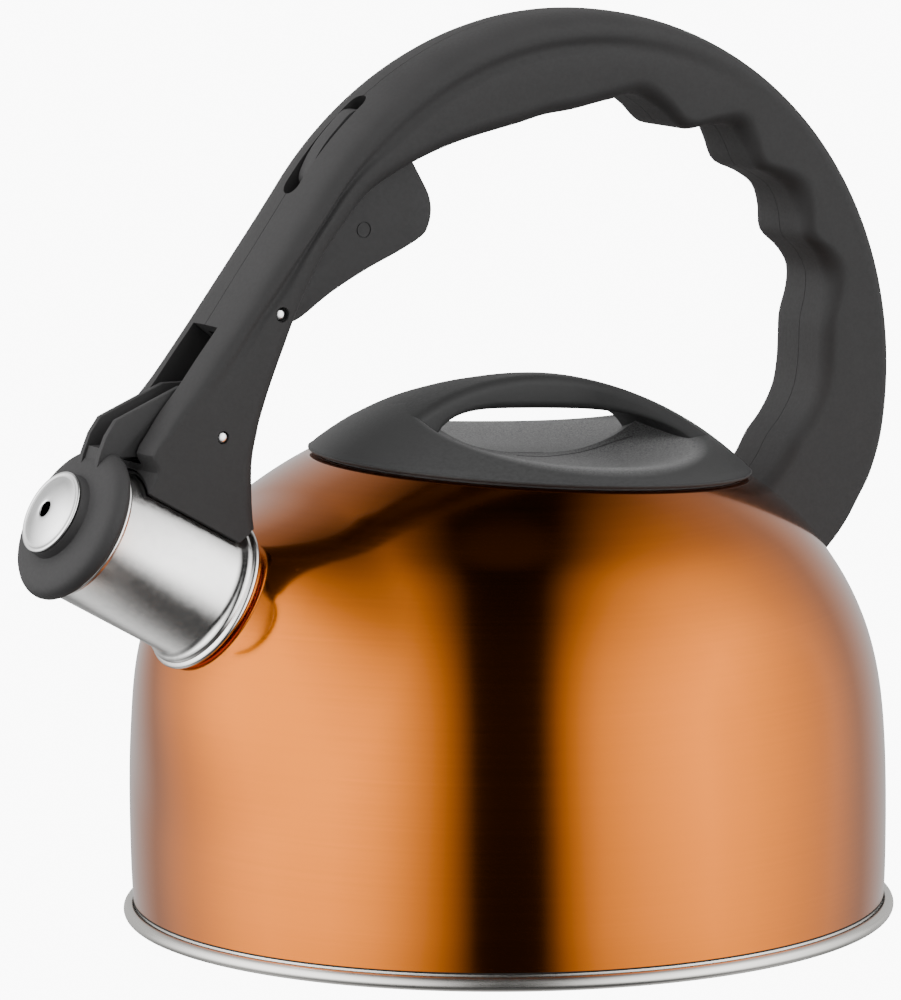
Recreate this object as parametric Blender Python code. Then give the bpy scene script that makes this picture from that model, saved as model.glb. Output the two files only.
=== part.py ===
# Stovetop whistling kettle, built as an assembly of separate solids.
# Driving dimensions are in millimetres; make() scales every point to metres.
# Kettle axis = world Z, spout toward -X, handle in the XZ plane.

import math

import bmesh
import bpy
from mathutils import Matrix, Vector

MM = 0.001
GAP = 0.3

# body
BODY_R = 99.9
SHELL_T = 1.0
SHELL_BASE_Z = 4.9
DOME_R = 113.7
DOME_Z = 21.8
WALL = [
    (99.2, 4.0), (99.6, 9.0), (BODY_R, 30.0), (99.5, 48.0), (98.2, 62.0),
    (95.6, 74.0), (91.4, 84.7), (87.3, 92.0), (82.8, 98.6),
]
BEAD_R = 100.0
BEAD_T = 1.9
BEAD_Z = 2.2

# lid, set back and tipped toward the rear
LID_TIP = math.radians(4.5)
LID_X = 7.7
LID_Z = 119.65
LID_R = 58.5
LID_H = 23.2
LID_EDGE = 0.7
SEAT = -0.9
MOUTH_R = 48.6
SCOOP_R = 39.8
SCOOP_C = (2.0, 16.6)
FLOOR = 1.4
ARCH_HALF = 33.5
ARCH_CLEAR = 14.2

# spout
SPOUT_TILT = math.radians(29.8)
FACE_X = -136.5
FACE_Z = 119.5
TUBE_R = 18.2
TUBE_T = 0.8
MOUTH_S = -10.3
FLANGE_S = -53.0

# handle
HANDLE_X = 16.0
HANDLE_Z = 138.0
HANDLE_W = 13.0
OUT_ROUND = 7.0
IN_ROUND = 5.0
SPLIT = 0.15
GRIP_OUT = [
    (-36.0, 92.0), (-31.3, 94.5), (-26.3, 96.6), (-21.8, 97.9),
    (-17.6, 99.4), (-10.0, 100.4), (90.0, 100.4), (120.0, 100.0),
    (146.0, 100.0),
]
GRIP_IN = [
    (-36.0, 61.8), (-28.0, 64.8), (-20.0, 68.0), (-15.0, 69.6),
    (-10.5, 72.8), (-5.0, 75.9), (0.0, 77.2), (5.0, 78.0), (9.5, 79.2),
    (14.0, 82.2), (18.0, 83.8), (22.0, 82.9), (26.5, 80.6), (31.0, 82.8),
    (35.5, 83.8), (40.0, 82.0), (44.5, 79.6), (49.0, 81.8), (53.5, 83.5),
    (58.0, 79.8), (63.5, 75.4), (70.0, 77.9), (76.0, 79.6), (82.0, 77.0),
    (90.0, 74.6), (97.0, 74.3), (104.0, 74.1), (112.0, 75.5), (122.0, 78.7),
    (129.0, 81.4), (138.0, 85.2), (146.0, 86.4),
]
LEG = [
    ((-74.0, 184.9), (-60.2, 181.0)), ((-82.3, 174.2), (-64.9, 173.6)),
    ((-90.3, 163.8), (-68.7, 166.7)), ((-96.5, 156.5), (-72.8, 157.5)),
    ((-102.4, 149.2), (-75.9, 150.5)), ((-107.6, 143.4), (-78.4, 144.3)),
    ((-111.4, 138.2), (-80.6, 138.0)), ((-114.6, 133.2), (-82.3, 131.8)),
    ((-112.9, 128.6), (-83.0, 125.5)), ((-117.6, 121.6), (-82.8, 113.8)),
    ((-119.5, 116.0), (-81.0, 102.0)),
]
GRIP_SCREWS = [(108.4, 88.0), (66.8, 89.0)]

# linkage
TRIGGER_PIN = (-75.0, 166.2)
CAP_PIN = (-93.0, 136.1)
PIN_R = 1.5
PEG_ARM = 9.7
PEG_ANGLE = 77.1
TRIGGER_T = 2.4
TRIGGER_SLOT = 3.0
CHEEK_IN = 3.2
CHEEK_OUT = 5.1
POCKET = 6.0
FRONT_SCREW = (-92.5, 119.6)
REAR_SCREW = (95.0, 109.0)


# ---------------------------------------------------------------- helpers

def clear_scene():
    for item in list(bpy.data.objects):
        bpy.data.objects.remove(item, do_unlink=True)


def material(name, color, metallic, roughness):
    mat = bpy.data.materials.new(name)
    mat.use_nodes = True
    shader = mat.node_tree.nodes.get("Principled BSDF")
    shader.inputs["Base Color"].default_value = (*color, 1.0)
    shader.inputs["Metallic"].default_value = metallic
    shader.inputs["Roughness"].default_value = roughness
    mat.diffuse_color = (*color, 1.0)
    return mat


def frame(origin, axis, side):
    """Matrix whose Z is axis and whose X is as near to side as it can be."""
    z = Vector(axis).normalized()
    x = Vector(side)
    x = (x - z * x.dot(z)).normalized()
    y = z.cross(x)
    mat = Matrix((x, y, z)).transposed().to_4x4()
    mat.translation = Vector(origin)
    return mat


WORLD = Matrix.Identity(4)
SPOUT_DIR = Vector((-math.cos(SPOUT_TILT), 0.0, math.sin(SPOUT_TILT)))
SPOUT = frame((FACE_X, 0.0, FACE_Z), SPOUT_DIR, (0.0, 0.0, 1.0))
LID_DIR = Vector((math.sin(LID_TIP), 0.0, math.cos(LID_TIP)))
LID = frame((LID_X, 0.0, LID_Z), LID_DIR, (1.0, 0.0, 0.0))


def tidy(mesh):
    bm = bmesh.new()
    bm.from_mesh(mesh)
    bmesh.ops.remove_doubles(bm, verts=bm.verts, dist=0.000002)
    bmesh.ops.dissolve_degenerate(bm, edges=bm.edges, dist=0.000002)
    bmesh.ops.recalc_face_normals(bm, faces=bm.faces)
    bm.to_mesh(mesh)
    bm.free()
    mesh.shade_smooth()
    mesh.set_sharp_from_angle(angle=math.radians(32.0))


def make(name, points, faces, mat=None, place=WORLD):
    mesh = bpy.data.meshes.new(name)
    scaled = [(place @ Vector(p)) * MM for p in points]
    mesh.from_pydata(scaled, [], faces)
    mesh.update()
    tidy(mesh)
    obj = bpy.data.objects.new(name, mesh)
    bpy.context.scene.collection.objects.link(obj)
    if mat is not None:
        mesh.materials.append(mat)
    return obj


def lathe(name, profile, mat=None, place=WORLD, segs=64):
    """Closed (radius, height) outline turned once round the local Z axis."""
    points = []
    rings = []
    for r, h in profile:
        if r < 1e-6:
            rings.append([len(points)])
            points.append((0.0, 0.0, h))
            continue
        ring = []
        for k in range(segs):
            a = 2.0 * math.pi * k / segs
            ring.append(len(points))
            points.append((r * math.cos(a), r * math.sin(a), h))
        rings.append(ring)
    faces = []
    for i, lower in enumerate(rings):
        upper = rings[(i + 1) % len(rings)]
        if len(lower) == 1 and len(upper) == 1:
            continue
        for k in range(segs):
            n = (k + 1) % segs
            if len(lower) == 1:
                faces.append((lower[0], upper[n], upper[k]))
            elif len(upper) == 1:
                faces.append((lower[k], lower[n], upper[0]))
            else:
                faces.append((lower[k], lower[n], upper[n], upper[k]))
    return make(name, points, faces, mat, place)


def loft(name, sections, mat=None, place=WORLD):
    """Skin over equal-length closed sections, with a flat cap at each end."""
    count = len(sections[0])
    points = [p for section in sections for p in section]
    faces = []
    for i in range(len(sections) - 1):
        for k in range(count):
            n = (k + 1) % count
            a = i * count
            b = a + count
            faces.append((a + k, a + n, b + n, b + k))
    faces.append(tuple(range(count)))
    last = (len(sections) - 1) * count
    faces.append(tuple(last + k for k in reversed(range(count))))
    return make(name, points, faces, mat, place)


def prism(name, outline, y0, y1, mat=None):
    """XZ outline given thickness along Y."""
    low = [(x, y0, z) for x, z in outline]
    high = [(x, y1, z) for x, z in outline]
    return loft(name, [low, high], mat)


def cylinder(name, place, radius, h0, h1, segs=24, mat=None):
    ring = [(0.0, h0), (radius, h0), (radius, h1), (0.0, h1)]
    return lathe(name, ring, mat, place, segs)


def cross_pin(name, spot, radius, y0, y1, mat=None, segs=24):
    place = frame((spot[0], 0.0, spot[1]), (0.0, 1.0, 0.0), (1.0, 0.0, 0.0))
    return cylinder(name, place, radius, y0, y1, segs, mat)


def combine(obj, tool, operation):
    mod = obj.modifiers.new("combine", "BOOLEAN")
    mod.operation = operation
    mod.solver = "EXACT"
    mod.object = tool
    graph = bpy.context.evaluated_depsgraph_get()
    mesh = bpy.data.meshes.new_from_object(obj.evaluated_get(graph))
    obj.modifiers.clear()
    old = obj.data
    obj.data = mesh
    bpy.data.meshes.remove(old)
    mesh.name = obj.name
    tidy(mesh)
    bpy.data.objects.remove(tool, do_unlink=True)
    return obj


def cut(obj, *tools):
    for tool in tools:
        combine(obj, tool, "DIFFERENCE")
    return obj


def join(obj, *tools):
    for tool in tools:
        combine(obj, tool, "UNION")
    return obj


def keep(obj, tool):
    return combine(obj, tool, "INTERSECT")


def smooth_curve(table, x):
    """Cubic through a table of (x, y), with slopes taken from its neighbours."""
    if x <= table[0][0]:
        return table[0][1]
    if x >= table[-1][0]:
        return table[-1][1]
    i = 0
    while table[i + 1][0] < x:
        i += 1
    before = table[max(i - 1, 0)]
    first = table[i]
    second = table[i + 1]
    after = table[min(i + 2, len(table) - 1)]
    span = second[0] - first[0]
    t = (x - first[0]) / span
    m0 = (second[1] - before[1]) / (second[0] - before[0]) * span
    m1 = (after[1] - first[1]) / (after[0] - first[0]) * span
    a = (2 * t ** 3 - 3 * t ** 2 + 1) * first[1]
    b = (t ** 3 - 2 * t ** 2 + t) * m0
    c = (-2 * t ** 3 + 3 * t ** 2) * second[1]
    d = (t ** 3 - t ** 2) * m1
    return a + b + c + d


def polar(centre, radius, degrees):
    a = math.radians(degrees)
    return (centre[0] + radius * math.cos(a), centre[1] + radius * math.sin(a))


def arc(centre, radius, start, end, count):
    step = (end - start) / (count - 1)
    return [polar(centre, radius, start + step * k) for k in range(count)]


# ---------------------------------------------------------------- body

def body_outline(offset):
    """Outer (radius, height) of the body, moved outward by offset."""
    points = list(WALL)
    start = math.asin((103.5 - DOME_Z) / DOME_R)
    steps = 6
    for k in range(steps):
        a = start + (math.pi / 2 - start) * k / steps
        points.append((DOME_R * math.cos(a), DOME_Z + DOME_R * math.sin(a)))
    points.append((0.0, DOME_Z + DOME_R))
    moved = []
    for i, (r, z) in enumerate(points):
        ahead = points[min(i + 1, len(points) - 1)]
        behind = points[max(i - 1, 0)]
        dr = ahead[0] - behind[0]
        dz = ahead[1] - behind[1]
        size = math.hypot(dr, dz)
        if r < 1e-6:
            moved.append((0.0, z + offset))
        else:
            moved.append((r + dz / size * offset, z - dr / size * offset))
    return moved


def body_solid(name, offset, bottom, segs=60):
    outline = body_outline(offset)
    r0 = outline[0][0]
    return lathe(name, [(0.0, bottom), (r0, bottom)] + outline, segs=segs)


def above_lid_plane(height):
    return cylinder("lid_space", LID, 150.0, height, 80.0, 12)


def body_shell():
    shell = body_solid("body_shell", 0.0, SHELL_BASE_Z - 1.5)
    seat = FLANGE_S - GAP
    boss = [
        (0.0, seat), (21.0, seat), (21.3, seat - 0.5), (21.6, seat - 2.0),
        (22.6, seat - 4.0), (25.0, seat - 6.2), (29.0, seat - 8.2), (0.0, seat - 14.0),
    ]
    join(shell, lathe("boss", boss, place=SPOUT, segs=36))
    cut(shell, above_lid_plane(SEAT))
    inner = body_solid("inner", -SHELL_T, SHELL_BASE_Z - 6.0)
    cut(inner, above_lid_plane(SEAT - SHELL_T))
    cut(shell, inner)
    cut(shell, cylinder("floor", WORLD, 120.0, -5.0, SHELL_BASE_Z, 12))
    cut(shell, cylinder("mouth", LID, MOUTH_R + 0.5, -30.0, 30.0, 48))
    neck = [
        (MOUTH_R, -9.0), (MOUTH_R + 0.9, -9.0),
        (MOUTH_R + 0.9, SEAT - 0.1), (MOUTH_R, SEAT - 0.1),
    ]
    join(shell, lathe("neck", neck, place=LID, segs=48))
    cut(shell, cylinder("bore", SPOUT, TUBE_R - TUBE_T, -75.0, -30.0, 36))
    shell.data.materials.clear()
    shell.data.materials.append(material("copper_lacquer", (0.62, 0.22, 0.05), 1.0, 0.28))
    return shell


def base_pan():
    steel = material("pan_steel", (0.70, 0.70, 0.69), 1.0, 0.3)
    bead = []
    for k in range(8):
        a = math.radians(-155.0 + 275.0 * k / 7)
        bead.append((BEAD_R + BEAD_T * math.cos(a), BEAD_Z + BEAD_T * math.sin(a)))
    profile = [(0.0, 3.7), (96.6, 3.7), (97.2, 3.0)] + bead
    profile += [(98.3, 4.6), (97.9, 8.5), (97.2, 8.5), (97.0, 4.5), (0.0, 4.5)]
    return lathe("base_pan", profile, steel, segs=60)


def heat_disc():
    alloy = material("heat_disc_alloy", (0.80, 0.80, 0.80), 1.0, 0.45)
    profile = [(0.0, 1.1), (80.0, 1.1), (81.0, 1.8), (81.0, 3.4), (0.0, 3.4)]
    return lathe("heat_disc", profile, alloy, segs=48)


def base_cover():
    steel = material("base_cover_steel", (0.72, 0.72, 0.72), 1.0, 0.35)
    profile = [
        (0.0, 0.0), (81.0, 0.0), (82.2, 0.8), (82.2, 3.4), (81.4, 3.4),
        (81.4, 1.3), (80.6, 0.8), (0.0, 0.8),
    ]
    return lathe("base_cover", profile, steel, segs=48)


# ---------------------------------------------------------------- spout

def spout_outline(offset):
    """Outer (radius, station) of the spout from its mouth to the body."""
    points = [
        (18.9, MOUTH_S), (19.0, MOUTH_S - 0.8), (TUBE_R, MOUTH_S - 1.8),
        (TUBE_R, -47.8), (18.7, -48.8), (20.1, -49.6), (20.4, -50.3),
        (20.4, -51.0), (21.1, -51.3), (21.3, -51.9), (21.3, FLANGE_S),
    ]
    return [(r + offset, s) for r, s in points]


def spout_tube():
    steel = material("spout_steel", (0.74, 0.73, 0.71), 1.0, 0.22)
    inner = TUBE_R - TUBE_T
    profile = spout_outline(0.0) + [(inner, FLANGE_S), (inner, MOUTH_S)]
    return lathe("spout_tube", profile, steel, SPOUT, 40)


# ---------------------------------------------------------------- handle

def handle_stations():
    pairs = []
    centre = (HANDLE_X, HANDLE_Z)
    for angle, inner in GRIP_IN:
        outer = smooth_curve(GRIP_OUT, angle)
        pairs.append((polar(centre, outer, angle), polar(centre, inner, angle)))
    return pairs + LEG


def handle_section(outer, inner, side):
    """Half section from the split face, round the outer edge, to the inner edge."""
    out = Vector((outer[0], 0.0, outer[1]))
    inn = Vector((inner[0], 0.0, inner[1]))
    depth = (out - inn).length
    along = (out - inn) / depth
    flat = []
    for k in range(5):
        a = math.radians(90.0 * k / 4)
        y = HANDLE_W - OUT_ROUND + OUT_ROUND * math.sin(a)
        flat.append((y, depth - OUT_ROUND + OUT_ROUND * math.cos(a)))
    for k in range(4):
        a = math.radians(90.0 * k / 3)
        y = HANDLE_W - IN_ROUND + IN_ROUND * math.cos(a)
        flat.append((y, IN_ROUND - IN_ROUND * math.sin(a)))
    flat = [(SPLIT, depth)] + flat + [(SPLIT, 0.0)]
    section = []
    for y, d in flat:
        p = inn + along * d
        section.append((p.x, side * y, p.z))
    return section


def trigger_cavity():
    """Room for the trigger blade to swing, between the halves."""
    outline = [
        (-81.3, 170.0), (-63.8, 192.6), (-40.0, 214.0), (-33.2, 211.5),
        (-20.0, 199.0), (-16.0, 180.0), (-50.0, 158.0), (-66.5, 156.0),
        (-71.6, 160.2), (-74.5, 157.2), (-77.4, 150.6), (-80.8, 141.6),
        (-84.0, 138.0), (-97.0, 141.0), (-96.5, 149.5), (-86.0, 164.0),
    ]
    return prism("cavity", outline, -TRIGGER_SLOT, TRIGGER_SLOT)


def top_slot():
    """Rounded slot in the outer surface that the trigger fin rises through."""
    first = Vector((-65.6, 0.0, 195.2))
    second = Vector((-41.9, 0.0, 218.9))
    along = (second - first).normalized()
    out = Vector((along.z, 0.0, -along.x)) * -1.0
    half = TRIGGER_SLOT + 0.2
    length = (second - first).length
    ring = []
    for k in range(9):
        a = math.radians(90.0 + 180.0 * k / 8)
        ring.append((half + half * math.cos(a), half * math.sin(a)))
    for k in range(9):
        a = math.radians(-90.0 + 180.0 * k / 8)
        ring.append((length - half + half * math.cos(a), half * math.sin(a)))
    sections = []
    for depth in (-13.0, 9.0):
        section = []
        for u, v in ring:
            p = first + along * u + out * depth
            section.append((p.x, v, p.z))
        sections.append(section)
    return loft("slot", sections)


def arm_pocket():
    """Open pocket at the front of the foot where the cap arm swings."""
    outline = [
        (-96.6, 168.4), (-78.5, 153.9), (-80.9, 146.5), (-81.7, 142.3),
        (-83.6, 136.0), (-86.6, 127.0), (-113.0, 130.2), (-126.0, 131.8),
        (-126.0, 168.4),
    ]
    return prism("pocket", outline, -POCKET, POCKET)


def screw_hole(spot, far):
    tools = [cross_pin("hole", spot, 1.8, -9.6, 16.0, segs=16)]
    if far:
        tools.append(cross_pin("bore", spot, 3.3, 10.4, 16.0, segs=16))
    return tools


def bracket_slots():
    front = [(-101.5, 110.0), (-84.5, 108.0), (-84.5, 126.0), (-101.5, 126.6)]
    rear = [(74.0, 100.0), (92.0, 84.0), (103.0, 104.0), (99.0, 116.0), (86.0, 117.0)]
    return [prism("tab", front, -1.2, 1.2), prism("tab", rear, -1.2, 1.2)]


def handle_half(name, side, mat):
    sections = [handle_section(o, i, side) for o, i in handle_stations()]
    half = loft(name, sections, mat)
    cut(half, trigger_cavity(), top_slot(), arm_pocket())
    cut(half, *bracket_slots())
    cut(half, body_solid("skin", 1.5, 0.0))
    room = [
        (0.0, MOUTH_S + 1.0), (19.4, MOUTH_S + 1.0), (19.4, -47.0),
        (22.5, -49.0), (22.5, -64.0), (0.0, -64.0),
    ]
    cut(half, lathe("spout_room", room, place=SPOUT, segs=40))
    for pin in (TRIGGER_PIN, CAP_PIN):
        cut(half, cross_pin("pin_hole", pin, PIN_R + 0.2, -16.0, 16.0, segs=20))
    spots = [polar((HANDLE_X, HANDLE_Z), r, a) for a, r in GRIP_SCREWS]
    for spot in spots + [FRONT_SCREW, REAR_SCREW]:
        cut(half, *screw_hole(spot, side > 0))
    if side > 0:
        cut(half, cross_pin("coil_room", TRIGGER_PIN, 5.3, 2.0, 9.0, segs=20))
    return half


def handle_pair():
    near = material("handle_plastic_near", (0.060, 0.060, 0.062), 0.0, 0.55)
    far = material("handle_plastic_far", (0.065, 0.065, 0.067), 0.0, 0.55)
    return [
        handle_half("handle_near_half", -1.0, near),
        handle_half("handle_far_half", 1.0, far),
    ]


def screw(name, spot, mat, start=-8.6, seat=10.6):
    place = frame((spot[0], 0.0, spot[1]), (0.0, 1.0, 0.0), (1.0, 0.0, 0.0))
    profile = [
        (0.0, start), (0.6, start), (1.5, start + 1.6), (1.5, seat),
        (2.9, seat), (2.9, seat + 1.1), (2.1, seat + 1.8), (0.0, seat + 1.8),
    ]
    body = lathe(name, profile, mat, place, 16)
    socket = cylinder("socket", place, 1.2, seat + 0.6, seat + 3.0, 6)
    return cut(body, socket)


def handle_screws():
    steel = material("screw_steel", (0.66, 0.66, 0.67), 1.0, 0.3)
    spots = [polar((HANDLE_X, HANDLE_Z), r, a) for a, r in GRIP_SCREWS]
    return [
        screw("grip_screw_front", spots[0], steel),
        screw("grip_screw_rear", spots[1], steel),
        screw("front_foot_screw", FRONT_SCREW, steel),
        screw("rear_foot_screw", REAR_SCREW, steel),
    ]


def brackets():
    steel = material("bracket_steel", (0.68, 0.68, 0.68), 1.0, 0.35)
    front = [
        (-100.6, 113.0), (-86.0, 108.0), (-85.6, 117.0), (-88.0, 124.2), (-97.0, 125.2),
    ]
    tab = prism("front_bracket", front, -0.8, 0.8, steel)
    cut(tab, cylinder("tube", SPOUT, TUBE_R + 0.1, -70.0, 0.0, 48))
    flange = [(0.0, -47.0), (21.7, -47.0), (22.0, -56.0), (0.0, -56.0)]
    cut(tab, lathe("flange", flange, place=SPOUT, segs=48))
    cut(tab, cross_pin("hole", FRONT_SCREW, 1.8, -3.0, 3.0, segs=20))
    rear = [(76.0, 98.0), (90.0, 85.0), (101.0, 104.0), (98.0, 114.6), (87.0, 115.6)]
    back = prism("rear_bracket", rear, -0.8, 0.8, steel)
    cut(back, body_solid("skin", 0.2, 0.0))
    cut(back, cross_pin("hole", REAR_SCREW, 1.8, -3.0, 3.0, segs=20))
    return [tab, back]


def front_gasket():
    rubber = material("front_gasket_rubber", (0.02, 0.02, 0.02), 0.0, 0.8)
    sections = []
    for s in (-17.0, -25.0, -33.0, -40.0, -47.0):
        section = []
        for k in range(13):
            a = math.radians(-40.0 + 80.0 * k / 12)
            section.append((18.45 * math.cos(a), 18.45 * math.sin(a), s))
        for k in range(13):
            a = math.radians(40.0 - 80.0 * k / 12)
            section.append((19.1 * math.cos(a), 19.1 * math.sin(a), s))
        sections.append(section)
    pad = loft("front_gasket", sections, rubber, SPOUT)
    room = [(-103.0, 100.0), (-83.0, 100.0), (-83.0, 130.0), (-103.0, 130.0)]
    return cut(pad, prism("room", room, -1.2, 1.2))


def rear_gasket():
    rubber = material("rear_gasket_rubber", (0.02, 0.02, 0.02), 0.0, 0.8)
    outline = [(73.5, 120.0), (73.5, 100.0), (80.0, 84.0), (96.5, 84.0), (97.5, 93.0)]
    pad = prism("rear_gasket", outline, -12.0, 12.0, rubber)
    keep(pad, body_solid("skin", 1.2, 0.0))
    cut(pad, body_solid("skin", 0.3, -1.0))
    room = [(75.0, 120.0), (75.0, 80.0), (94.0, 80.0), (94.0, 120.0)]
    return cut(pad, prism("room", room, -1.2, 1.2))


# ---------------------------------------------------------------- linkage

def trigger_lever():
    plastic = material("trigger_plastic", (0.055, 0.055, 0.057), 0.0, 0.5)
    p = TRIGGER_PIN
    fork = 232.5
    outline = [
        polar(p, 5.2, 150.0), polar(p, 7.2, 112.0), polar(p, 14.0, 68.0),
        polar(p, 24.0, 54.0), polar(p, 32.4, 49.5), polar(p, 33.2, 60.0),
        polar(p, 35.5, 66.2), polar(p, 40.0, 66.6), polar(p, 46.0, 65.0),
        polar(p, 52.0, 62.6), polar(p, 56.0, 61.0), polar(p, 58.0, 58.8),
        polar(p, 58.8, 55.5), polar(p, 59.2, 50.0), polar(p, 59.2, 44.0),
        polar(p, 57.9, 38.0), polar(p, 57.4, 33.0), polar(p, 57.2, 28.0),
        polar(p, 56.6, 25.0), polar(p, 55.6, 22.6), polar(p, 53.8, 20.0),
        polar(p, 51.0, 17.9), polar(p, 43.0, 16.4), polar(p, 32.1, 14.5),
        polar(p, 20.6, 7.8), polar(p, 12.0, -13.0), polar(p, 8.0, -32.0),
        polar(p, 5.6, -62.0),
    ]
    outline += [
        polar(p, 12.0, fork + 14.0), polar(p, 19.5, fork + 9.4),
        polar(p, 22.0, fork + 10.6), polar(p, 28.4, fork + 8.0),
        polar(p, 28.4, fork + 3.9), polar(p, 23.6, fork + 4.7),
        polar(p, 22.6, fork + 2.6), polar(p, 22.6, fork - 2.6),
        polar(p, 23.6, fork - 4.7), polar(p, 28.4, fork - 3.9),
        polar(p, 28.4, fork - 8.4), polar(p, 22.0, fork - 11.0),
        polar(p, 12.0, fork - 17.0), polar(p, 6.0, fork - 40.0),
    ]
    lever = prism("trigger_lever", outline, -TRIGGER_T, TRIGGER_T, plastic)
    cut(lever, cross_pin("bore", p, PIN_R + 0.3, -6.0, 6.0))
    mark = polar(p, 36.0, 31.0)
    return cut(lever, cross_pin("mark", mark, 1.9, -3.0, -TRIGGER_T + 0.3, segs=20))


def pins():
    steel = material("pin_steel", (0.75, 0.75, 0.76), 1.0, 0.2)
    result = []
    table = (("trigger_pin", TRIGGER_PIN, 12.3), ("cap_pin", CAP_PIN, 12.9))
    for name, spot, half in table:
        place = frame((spot[0], 0.0, spot[1]), (0.0, 1.0, 0.0), (1.0, 0.0, 0.0))
        profile = [
            (0.0, -half), (1.1, -half), (PIN_R, -half + 0.4),
            (PIN_R, half - 0.4), (1.1, half), (0.0, half),
        ]
        result.append(lathe(name, profile, steel, place, 24))
    return result


def cap_cheek(side):
    peg = polar(CAP_PIN, PEG_ARM, PEG_ANGLE)
    outline = [
        (-126.4, 127.6), (-124.8, 133.0), (-122.6, 138.0), (-119.6, 141.9),
        (-101.1, 149.0),
    ]
    outline += arc(peg, 3.4, 112.0, -12.0, 8)
    outline += arc(CAP_PIN, 4.3, 12.0, -95.0, 7)
    outline += [
        (-104.0, 131.3), (-112.0, 131.9), (-118.4, 132.2), (-120.4, 130.2),
        (-122.5, 127.5),
    ]
    y0 = CHEEK_IN * side
    y1 = CHEEK_OUT * side
    return prism("cheek", outline, min(y0, y1), max(y0, y1))


def cap_lever():
    plastic = material("cap_plastic", (0.058, 0.058, 0.060), 0.0, 0.55)
    ring = [
        (9.3, -9.9), (19.5, -9.9), (20.4, -8.6), (20.8, -7.2),
        (20.4, -5.9), (18.7, -4.9), (14.6, -3.9), (11.4, -3.6),
        (11.4, -0.9), (9.3, -0.9),
    ]
    lever = lathe("cap_lever", ring, place=SPOUT, segs=40)
    web = [
        (-124.4, 131.6), (-119.4, 131.6), (-112.0, 131.9), (-104.0, 131.4),
        (-101.0, 131.6), (-101.0, 133.6), (-112.0, 134.2), (-118.0, 137.0),
        (-122.6, 137.2),
    ]
    join(lever, cap_cheek(-1.0), cap_cheek(1.0))
    join(lever, prism("web", web, -CHEEK_IN - 0.4, CHEEK_IN + 0.4))
    cut(lever, cross_pin("bore", CAP_PIN, PIN_R + 0.3, -9.0, 9.0))
    peg = polar(CAP_PIN, PEG_ARM, PEG_ANGLE)
    cut(lever, cross_pin("peg_bore", peg, PIN_R + 0.06, -9.0, 9.0))
    lever.data.materials.clear()
    lever.data.materials.append(plastic)
    return lever


def drive_peg():
    steel = material("peg_steel", (0.70, 0.70, 0.71), 1.0, 0.3)
    peg = polar(CAP_PIN, PEG_ARM, PEG_ANGLE)
    return cross_pin("drive_peg", peg, PIN_R, -CHEEK_OUT, CHEEK_OUT, steel)


def whistle():
    bright = material("whistle_face_steel", (0.86, 0.86, 0.85), 1.0, 0.18)
    inner = material("whistle_plate_steel", (0.78, 0.78, 0.78), 1.0, 0.3)
    face = [
        (1.5, 1.4), (5.0, 1.0), (9.4, -0.7), (11.0, -0.7), (11.2, -0.3),
        (11.0, 0.0), (10.3, 0.1), (9.5, 0.0), (5.4, 1.6), (1.5, 2.0),
    ]
    plate = [
        (1.5, -5.4), (7.0, -5.4), (9.0, -5.0), (9.0, -4.2), (8.4, -4.2),
        (6.8, -4.8), (1.5, -4.8),
    ]
    front = lathe("whistle_face", face, bright, SPOUT, 30)
    back = lathe("whistle_plate", plate, inner, SPOUT, 24)
    return [front, back]


def cap_gasket():
    rubber = material("cap_gasket_silicone", (0.10, 0.10, 0.10), 0.0, 0.7)
    ring = [(10.4, -10.2), (10.4, -11.7), (14.6, -11.7), (15.4, -11.0), (15.4, -10.2)]
    return lathe("cap_gasket", ring, rubber, SPOUT, 32)


def return_spring():
    steel = material("spring_steel", (0.62, 0.62, 0.63), 1.0, 0.3)
    centre = Vector((TRIGGER_PIN[0], 0.0, TRIGGER_PIN[1]))
    wire = 0.34
    turns = 4.5
    per_turn = 10
    path = []
    total = int(turns * per_turn)
    for k in range(total + 1):
        a = 2.0 * math.pi * k / per_turn
        y = 3.7 + 4.4 * k / total
        path.append(Vector((2.75 * math.cos(a), y, 2.75 * math.sin(a))))
    path.insert(0, path[0] + Vector((1.7, 0.0, -1.9)))
    path.append(path[-1] + Vector((-1.7, 0.0, -1.9)))
    sections = []
    for i, spot in enumerate(path):
        ahead = path[min(i + 1, len(path) - 1)]
        behind = path[max(i - 1, 0)]
        way = (ahead - behind).normalized()
        side = (Vector((0.0, 1.0, 0.0)) - way * way.y).normalized()
        other = way.cross(side)
        section = []
        for k in range(5):
            a = 2.0 * math.pi * k / 5
            p = centre + spot + side * wire * math.cos(a) + other * wire * math.sin(a)
            section.append(tuple(p))
        sections.append(section)
    return loft("return_spring", sections, steel)


# ---------------------------------------------------------------- lid

def dome_height(r):
    rise = LID_H - LID_EDGE
    radius = (LID_R ** 2 + rise ** 2) / (2.0 * rise)
    return math.sqrt(radius ** 2 - r ** 2) - radius + LID_H


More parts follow.
